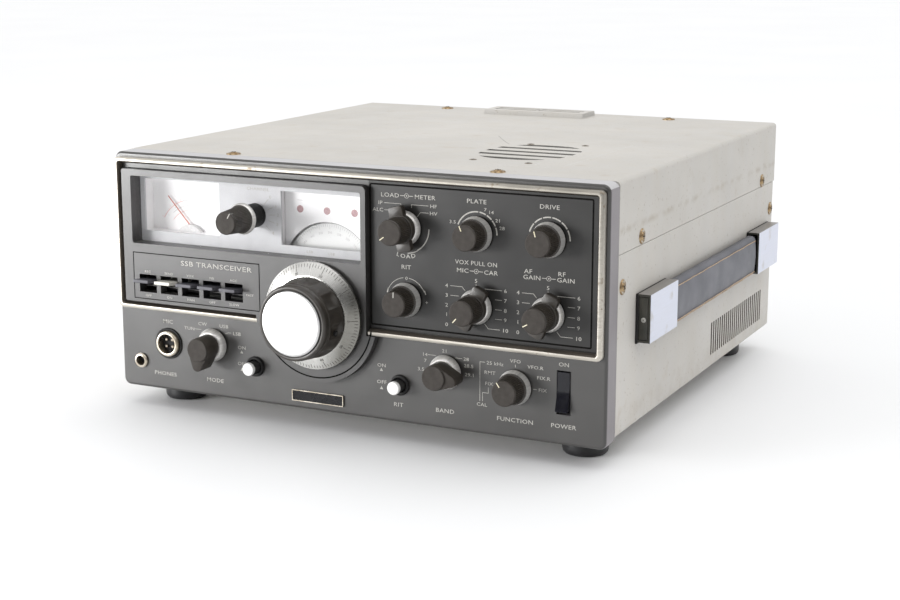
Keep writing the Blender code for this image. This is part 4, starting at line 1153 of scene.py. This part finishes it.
def panel_words(white):
    """Everything printed on the control panel."""
    load, plate, drive = AXIS["load_control"], AXIS["plate_control"], AXIS["drive_control"]
    rit, mic, gain = AXIS["rit_control"], AXIS["mic_pull_shaft"], AXIS["audio_gain"]
    mode, band, function = AXIS["mode_select"], AXIS["band_select"], AXIS["function_select"]

    white.words(load, LEGEND, ("LOAD", -10.4, 18.6), ("METER", 12.4, 18.6))
    white.words(load, 2.2, ("IP", -16.8, 13.7), ("ALC", -18.4, 9.5), ("HF", 17.9, 13.7), ("HV", 17.9, 9.5))
    concentric_mark(white, load.x + 0.5, load.z + 18.6)
    white.lines(load, FINE, [(-14.2, 13.7), (-3.2, 13.7), (-3.2, 12.4)], [(-14.2, 9.5), (-10.5, 9.5)],
                [(3.7, 11.8), (3.7, 13.7), (14.7, 13.7)], [(7.4, 6.8), (9.5, 9.5), (14.7, 9.5)])
    white.arc((load.x, load.z), 15.0, 0, -60, 0.7)
    white.arc((load.x, load.z), 15.2, -60, -86, 0.45)
    for letter, angle in zip("LOAD", (-108, -97, -85.5, -74)):
        x, z = polar((load.x, load.z), 17.0, angle)
        white.text(letter, x, z, 2.5, turn=angle + 90)

    white.words(plate, LEGEND, ("PLATE", -0.2, 18.7))
    gapped_arc(white, (plate.x, plate.z), 12.7, 159, 0, (84, 62, 42, 22))
    white.words(plate, 2.0, ("3.5", -15.3, 5.9), ("7", 5.3, 14.3), ("14", 8.9, 13.0), ("21", 13.3, 8.5),
                ("28", 15.8, 4.3))
    white.words(drive, LEGEND, ("DRIVE", 0, 18.5))
    gapped_arc(white, (drive.x, drive.z), 12.6, 163, 0, (137, 110, 84, 56, 30))

    white.words(rit, LEGEND, ("RIT", 0, 19.5))
    white.words(rit, 2.0, ("0", 0.2, 12.8), ("+", 13.4, -0.6))
    white.arc((rit.x, rit.z), 13.0, 158, 98, 0.3)
    white.arc((rit.x, rit.z), 13.0, 82, 24, 0.3)
    white.lines(rit, 0.7, [(-12.6, 3.2), (-11.8, 6.0)])
    white.lines(rit, 0.5, [(12.0, 6.4), (12.8, 4.0)])

    white.words(mic, LEGEND, ("MIC", -8.9, 20.7), ("CAR", 9.0, 20.7))
    white.text("VOX PULL ON", mic.x - 0.3, mic.z + 25.5, wide=26.5)
    concentric_mark(white, mic.x - 0.2, mic.z + 20.7)
    number_columns(white, mic, -19.1, 18.2)
    white.words(gain, LEGEND, ("AF", -12.6, 23.8), ("GAIN", -10.3, 20.4), ("RF", 7.9, 23.8),
                ("GAIN", 10.4, 20.4))
    concentric_mark(white, gain.x, gain.z + 20.5)
    number_columns(white, gain, -18.7, 18.4)

    for button, offset in (("calibrator_button", -10.0), ("rit_button", -12.4)):
        centre = middle(button)
        white.words(centre, 2.2, ("ON", offset, 10.8), ("OFF", offset, 0.5))
        for rise in (8.0, -3.2):
            white.triangle(centre.x + offset - 0.2, centre.z + rise, 1.1)
    white.words(middle("rit_button"), LEGEND, ("RIT", -1.2, -12.2))

    white.words(band, LEGEND, ("BAND", -0.7, -23.8))
    white.words(band, 2.1, ("21", -0.9, 12.5), ("14", -13.9, 9.1), ("7", -13.6, 5.4), ("3.5", -16.5, -0.1),
                ("28", 13.0, 9.1), ("28.5", 14.7, 5.2), ("29.1", 15.3, -0.1))
    white.lines(band, FINE, [(-12.0, 9.1), (-6.5, 9.1)], [(6.0, 9.1), (10.4, 9.1)])

    white.words(function, LEGEND, ("FUNCTION", -0.2, -19.9))
    white.words(function, 2.1, ("VFO", -0.2, 15.3), ("VFO.R", 12.3, 13.0), ("FIX.R", 17.4, 7.2),
                ("FIX", 16.9, 0.0), ("25 kHz", -13.1, 12.5), ("RMT", -16.3, 6.7), ("FIX", -16.8, 0.0),
                ("CAL", -21.3, -13.0))
    white.lines(function, 0.3, [(-0.2, 13.2), (-0.2, 11.6)], [(11.1, 0), (13.2, 0)],
                [(-19.4, 12.5), (-22.6, 12.5), (-22.6, -11.0)],
                [(-20.9, -11.0), (-20.9, -5.8), (-17.2, -5.8), (-17.2, -2.4)])

    white.words(AXIS["power_switch"], 2.4, ("ON", 0, 16.7))
    white.words(AXIS["power_switch"], LEGEND, ("POWER", 0.2, -19.7))
    white.words(middle("mic_socket"), LEGEND, ("MIC", -0.4, 14.2))
    white.words(middle("phones_jack"), LEGEND, ("PHONES", 18.0, -6.8))
    white.words(mode, LEGEND, ("MODE", 0.4, -23.1))
    white.words(mode, 2.2, ("TUN", -18.0, 8.6), ("CW", -8.0, 12.4), ("USB", 7.9, 12.4), ("LSB", 17.4, 8.6))
    white.lines(mode, FINE, [(-14.2, 8.6), (-9.0, 8.6)], [(8.6, 7.6), (11.2, 8.6), (13.0, 8.6)])


def legends():
    white = Print()
    panel_words(white)
    white.done("panel_legends", OFF_WHITE)

    low, high = span("dial_escutcheon")
    dial, first, last = AXIS["tuning_dial"], AXIS["lever_1"], AXIS["lever_5"]
    switches = Print(-low.y)
    above = ("REC", "SEND", "VOX", "NB", "AGC")
    below = ("OFF", "ON", "MAN", "OFF", "SLOW")
    for number, (up, down) in enumerate(zip(above, below), 1):
        switches.words(AXIS[f"lever_{number}"], 1.5, (up, 0, 7.6), (down, 0, -7.6))
    switches.words(last, 1.4, ("FAST", 11.6, -0.6))
    switches.text("SSB TRANSCEIVER", first.x + 51.2, first.z + 15.3, 3.2, wide=52.0)
    for step in range(4):
        x = dial.x - 4.5 + 2.65 * step
        switches.line([(x, dial.z + 31.0), (x, dial.z + 33.6)], 0.3)
    switches.done("switch_legends", OFF_WHITE)

    # black lines where the escutcheon has grooves: painted shade in place of cut grooves
    grooves = Print(-low.y)
    left, right, bottom, top = low.x + 7.0, dial.x - 38.8, dial.z - 1.8, dial.z + 27.6
    grooves.line([(right, bottom), (right, top), (left, top), (left, bottom), (right, bottom)], 0.6)
    grooves.arc((dial.x, dial.z), 39.0, 195, 351, 0.9)
    grooves.done("escutcheon_groove_painted_shade", BLACK_INK)

    low, high = span("control_panel")
    border = Print()
    outline = rounded(low.x + 0.7, high.x - 4.3, low.z + 3.0, high.z - 2.6, 0.8, 3)
    border.line(outline + outline[:2], 1.0)
    border.done("panel_border", BLACK_INK)


# ---------------------------------------------------------------- screws, handle, feet, back

def cup_screw(name, at, normal, radius=4.6, proud=1.5, finishes=None):
    """Oval-head screw with a cross slot in a dished cup washer, on a face with the given outward normal."""
    rim, dish, head_finish = finishes or (BRASS, DISH, BRASS)
    shape = bmesh.new()
    washer = [(radius * 0.5, -0.2), (radius, -0.2), (radius, proud * 0.12), (radius * 0.93, proud * 0.42),
              (radius * 0.86, proud * 0.56), (radius * 0.62, proud * 0.30)]
    turn_loops(shape, washer, 40, [0, 0, 0, 0, 2])
    head = [(radius * 0.58, 0.0), (radius * 0.58, proud * 0.36), (radius * 0.48, proud * 0.72),
            (radius * 0.3, proud * 0.92), (radius * 0.1, proud)]
    turn_loops(shape, head, 40, 3)
    turn = RANDOM.uniform(0, 90)
    for extra in (0, 90):
        spin = about("Y", turn + extra)
        add_box(shape, (-radius * 0.36, -proud * 1.02, -radius * 0.06),
                (radius * 0.36, -proud * 0.7, radius * 0.06), 1, turn=spin)
    face_turn = Vector((0, -1, 0)).rotation_difference(Vector(normal)).to_matrix().to_4x4()
    bmesh.ops.transform(shape, matrix=face_turn, verts=shape.verts)
    return finish_piece(name, shape, [rim, MATT_BLACK, dish, head_finish], "cabinet", at)


PLAIN_SCREW = (STEEL, STEEL, STEEL)
SMALL_SCREW = (OLD_SCREW, OLD_SCREW, OLD_SCREW)


def case_screws():
    side = span("bottom_cover")[1].x
    seam = span("top_cover")[0].z
    for hand, x in (("left", -90), ("right", 90)):
        cup_screw(f"top_screw_front_{hand}", (x, 18.8, ROOF), (0, 0, 1))
        cup_screw(f"top_screw_rear_{hand}", (x, 322, ROOF), (0, 0, 1))
    grille = middle("speaker")
    for index, (dx, dy) in enumerate(((-17.5, -47.2), (19.4, -48), (-15.2, 36.2), (19.6, 43.9))):
        cup_screw(f"grille_screw_{index}", (grille.x + dx, grille.y + dy, ROOF), (0, 0, 1), 2.4, 0.5,
                  SMALL_SCREW)
    places = ((52, seam + 4.9), (303.3, seam + 4.0), (21.1, seam - 19.3), (327, seam - 19.2))
    for index, (y, z) in enumerate(places):
        cup_screw(f"right_screw_{index}", (side, y, z), (1, 0, 0))
        cup_screw(f"left_screw_{index}", (-side + 0.22, y, z), (-1, 0, 0), proud=0.25)


def top_marks():
    """Scratches and soiled lines on the top cover, their points counted from the speaker's middle."""
    grille = middle("speaker")
    marks = ((0.45, SCRATCH_INK, ((-53, 69), (-38, 45), (-29, 32))),
             (0.3, FAINT_INK, ((-2, -61), (20, -61), (38, -60), (43, -52), (44, -30), (45, 2), (46, 60))),
             (0.5, FAINT_INK, ((22, -43), (26, -47), (25, -52))))
    for index, (width, finish, points) in enumerate(marks):
        mark = Print(lift=0.03)
        mark.line(points, width)
        for vert in mark.shape.verts:
            x, minus_p, z = vert.co
            vert.co = (x, z, -minus_p)
        finish_piece(f"top_mark_{index}", mark.shape, finish, "cabinet", (grille.x, grille.y, ROOF))


def strap_section(inner, outer, low, high, puff):
    """Closed cross-section (x, z) of the padded strap, with a crowned face and rolled edges."""
    points = [(inner, low + 1.0), (inner + 0.6, low)]
    points += [(outer - 2.6, low), (outer - 1.2, low + 0.7), (outer - 0.6, low + 2.0)]
    for step in range(1, 8):
        share = step / 8
        crown = puff * sin(pi * share)
        points.append((outer - 0.6 + crown, low + 2.0 + (high - low - 4.6) * share))
    points += [(outer - 0.6, high - 2.6), (outer - 1.2, high - 1.0), (outer - 2.6, high)]
    points += [(inner + 0.6, high), (inner, high - 1.0)]
    return points


def handle_cap(node, outer_end):
    """Channel-shaped cap with a dirty upper flange, its inside matt black as painted shade, and a plug in
    its outer end.
    """
    low, high = span(node)
    centre_z = (low.z + high.z) / 2

    def cap_finish(centre, normal):
        if abs(normal.y) > 0.7:
            return 3
        # inner faces of the channel take matt black, painted shade for its dark inside
        if low.x + 0.8 < centre.x < high.x - 0.3 and normal.z * (centre.z - centre_z) < -0.3:
            return 2
        if (normal.x < -0.5 and centre.x > low.x + 2) or (normal.x > 0.5 and centre.x < high.x - 1):
            return 2
        return 1 if normal.z > 0.6 else 0

    cap = softened(node, [CAP_ALUMINIUM, CAP_FLANGE, MATT_BLACK, CAP_END], 0.35)
    paint_faces(cap, cap_finish)
    base = ((low.x - 0.25, low.y - 0.9, low.z - 0.7), (low.x + 1.0, high.y + 0.6, high.z + 0.1), 0)
    blocks(f"{node}_base", [base], MATT_BLACK, 0.3)
    inward = 1 if outer_end == low.y else -1
    ends = sorted((outer_end + inward * 0.2, outer_end + inward * 5.0))
    plug = ((low.x + 1.3, ends[0], low.z + 1.75), (high.x - 1.75, ends[1], high.z - 1.75), 0)
    blocks(f"{node}_plug", [plug], CAP_END, 0.4)
    cup_screw(f"{node}_screw", ((low.x + high.x) / 2, outer_end + inward * 0.2, centre_z - 0.8),
              (0, -inward, 0), 1.5, 0.35, PLAIN_SCREW)


def handle():
    """Two channel-shaped caps on black base plates, the strap between them, and its stitching."""
    strap_low, strap_high = span("handle_strap")
    front, rear = span("handle_cap_front"), span("handle_cap_rear")
    handle_cap("handle_cap_front", front[0].y)
    handle_cap("handle_cap_rear", rear[1].y)

    inner = strap_low.x
    tongue = (inner + 3.2, strap_low.z + 3.2, strap_high.z - 3.2, 0.0)
    full = (strap_high.x - 0.3, strap_low.z + 0.2, strap_high.z - 0.2, 0.7)
    start, end = front[1].y + 0.6, rear[0].y - 1.2
    round_off = 4.5
    stations = [(strap_low.y, 0.0), (front[1].y - 0.6, 0.0), (front[1].y, 0.6), (start, 0.92)]
    stations += [(start + 2.0 + (end - round_off - start - 2.0) * step / 36, 1.0) for step in range(37)]
    for step in range(1, 9):
        share = step / 8
        stations.append((end - round_off + round_off * share, sqrt(max(0.0, 1 - share ** 2))))
    stations += [(end + 0.3, 0.0), (strap_high.y, 0.0)]
    shape = bmesh.new()
    loops = []
    for y, grow in stations:
        sag = 0.1 * sin(0.21 * y) * grow
        outer, low, high, puff = [a + (b - a) * grow for a, b in zip(tongue, full)]
        loops.append([(x, y, z + sag) for x, z in strap_section(inner, outer, low, high, puff)])
    add_loops(shape, loops)
    strap = stand_in("handle_strap", shape, LEATHER, smooth=60)
    stitching(start, end - round_off, full)


def stitching(start, end, strap):
    """Three rows of stitches along the strap's outer face."""
    outer, low, high, _ = strap
    shape = bmesh.new()
    pitch = 3.2
    for z, back in ((high - 2.9, 0.0), (low + 2.3, 0.0), (low + 0.9, 1.1)):
        count = int((end - start) / pitch)
        for step in range(count):
            y = start + pitch * (step + 0.5) + RANDOM.uniform(-0.15, 0.15)
            sag = 0.1 * sin(0.21 * y)
            height = z + sag + RANDOM.uniform(-0.08, 0.08)
            ring = []
            for share, size in ((-1.25, 0.12), (-0.9, 0.30), (0.0, 0.36), (0.9, 0.30), (1.25, 0.12)):
                lift = 0.16 * (1 - (share / 1.25) ** 2)
                face = outer - back - 0.12 + lift
                ring.append([(face + size * cos(a), y + share, height + size * sin(a)) for a in circle(6)])
            add_loops(shape, ring)
    finish_piece("strap_stitching", shape, THREAD, "cabinet")


def feet():
    for node in ("foot_front_left", "foot_front_right", "foot_rear_left", "foot_rear_right"):
        low, high = span(node)
        centre = (low + high) / 2
        radius = (high.x - low.x) / 2
        base, top = low.z, high.z
        profile = [(radius * 0.45, base + 1.2), (radius * 0.55, base + 0.1), (radius - 2.6, base),
                   (radius - 1.4, base + 0.35), (radius - 0.5, base + 1.3), (radius - 0.1, base + 2.8),
                   (radius, base + 4.2), (radius, top - 1.0), (radius - 0.3, top - 0.2), (2.0, top)]
        shape = bmesh.new()
        add_loops(shape, [[(r * cos(a), r * sin(a), h) for a in circle(72)] for r, h in profile])
        stand_in(node, shape, RUBBER, (centre.x, centre.y, 0))


def back_fittings():
    for node, finish, slot in (("antenna_socket", NICKEL, "nickel"), ("ground_post", NICKEL, "nickel"),
                               ("fuse_holder", BLACK, "black_plastic"),
                               ("power_inlet", BLACK, "black_plastic")):
        softened(node, finish, 0.3)
    low, high = span("power_inlet")
    centre = middle("power_inlet")
    pins = []
    for row in range(2):
        for column in range(4):
            x, z = centre.x + (column - 1.5) * 5.6, centre.z + (row - 0.5) * 5.6
            pins.append(((x - 0.5, low.y + 10.5, z - 1.3), (x + 0.5, high.y - 1.5, z + 1.3), 0))
    blocks("inlet_pins", pins, NICKEL, 0.15)
    back = span("rear_panel")[1].y
    for index, (x, z) in enumerate(((-150, 136), (150, 136), (-150, 14), (150, 14), (0, 14))):
        cup_screw(f"rear_screw_{index}", (x, back, z), (0, 1, 0), 3.2, 1.4, PLAIN_SCREW)
    fan = AXIS["fan"]
    for index in range(4):
        x, z = polar((fan.x, fan.z), 41, 45 + 90 * index)
        cup_screw(f"fan_screw_{index}", (x, back, z), (0, 1, 0), 2.6, 1.2, PLAIN_SCREW)


# ---------------------------------------------------------------- stage

DIM_FRONT, BRIGHT_BACK, BRIGHT_TOP = 0.10, 0.82, 0.98  # the surroundings by direction
FLOOR_REACH = 12.0
SUN_POWER, SUN_SPREAD, SUN_TURN = 1.1, 75, (-8, 22, 0)
SOFTBOX_PLACE, SOFTBOX_TARGET = Vector((-1.50, -1.45, 0.28)), Vector((-0.05, -0.19, 0.08))
SOFTBOX_SIZE, SOFTBOX_POWER = (1.2, 0.5), 46.0
CAMERA_PLACE, CAMERA_TURN = (489.1, -865.9, 289.5), (90 - 12.21, 0, 26.05)
SENSOR_WIDTH, FOCAL_LENGTH, CAMERA_SHIFT = 36.0, 67.94, (0.00467, -0.00556)


def studio():
    """Pale floor, soft lights and the camera at the photograph's angle."""
    world = bpy.data.worlds.new("studio")
    bpy.context.scene.world = world
    world.use_nodes = True
    tree = world.node_tree
    direction = add_node(tree, "ShaderNodeTexCoord").outputs["Generated"]
    parts = add_node(tree, "ShaderNodeSeparateXYZ", {0: direction}).outputs
    sides = []
    for axis, low, high, dim, bright in (("Y", -0.75, 0.15, DIM_FRONT, BRIGHT_BACK),
                                         ("Z", 0.15, 0.75, 0.0, BRIGHT_TOP)):
        sockets = {"Value": parts[axis], "From Min": low, "From Max": high, "To Min": dim, "To Max": bright}
        made = add_node(tree, "ShaderNodeMapRange", sockets, interpolation_type="SMOOTHSTEP")
        sides.append(made.outputs["Result"])
    brighter = add_node(tree, "ShaderNodeMath", dict(enumerate(sides)), operation="MAXIMUM")
    background = tree.nodes["Background"]
    link(tree, brighter.outputs[0], background.inputs["Strength"])
    link(tree, (1.0, 1.0, 1.0), background.inputs["Color"])
    bpy.context.scene.view_settings.view_transform = "Standard"

    mesh = bpy.data.meshes.new("floor")
    corners = [(x * FLOOR_REACH, y * FLOOR_REACH, CAD_BOX[0].z)
               for x, y in ((-1, -1), (1, -1), (1, 1), (-1, 1))]
    mesh.from_pydata(corners, [], [(0, 1, 2, 3)])
    pale = Finish("pale_floor", specular=0.3)
    pale.colour(pale.mix(pale.mottle(3.0, 2.0), (0.86, 0.865, 0.875), (0.88, 0.885, 0.89)))
    mesh.materials.append(pale.material)
    show("floor", mesh)

    sun = bpy.data.lights.new("overhead_light", "SUN")
    sun.energy = SUN_POWER
    sun.angle = radians(SUN_SPREAD)
    show("overhead_light", sun, turn=SUN_TURN)

    softbox = bpy.data.lights.new("left_softbox", "AREA")
    softbox.shape = "RECTANGLE"
    softbox.size, softbox.size_y = SOFTBOX_SIZE
    softbox.energy = SOFTBOX_POWER
    holder = show("left_softbox", softbox, SOFTBOX_PLACE)
    holder.rotation_euler = (SOFTBOX_TARGET - SOFTBOX_PLACE).to_track_quat("-Z", "Y").to_euler()

    camera = bpy.data.cameras.new("camera")
    camera.sensor_width = SENSOR_WIDTH
    camera.lens = FOCAL_LENGTH
    camera.shift_x, camera.shift_y = CAMERA_SHIFT
    camera.clip_start = 0.01
    bpy.context.scene.camera = show("camera", camera, panel_place(CAMERA_PLACE), CAMERA_TURN)


case_pieces()
moulding()
controls()
tuning_dial()
mic_socket()
phones_jack()
badge_plate()
lever_housing()
rocker_frame()
window_contents()
legends()
case_screws()
top_marks()
handle()
feet()
back_fittings()
studio()
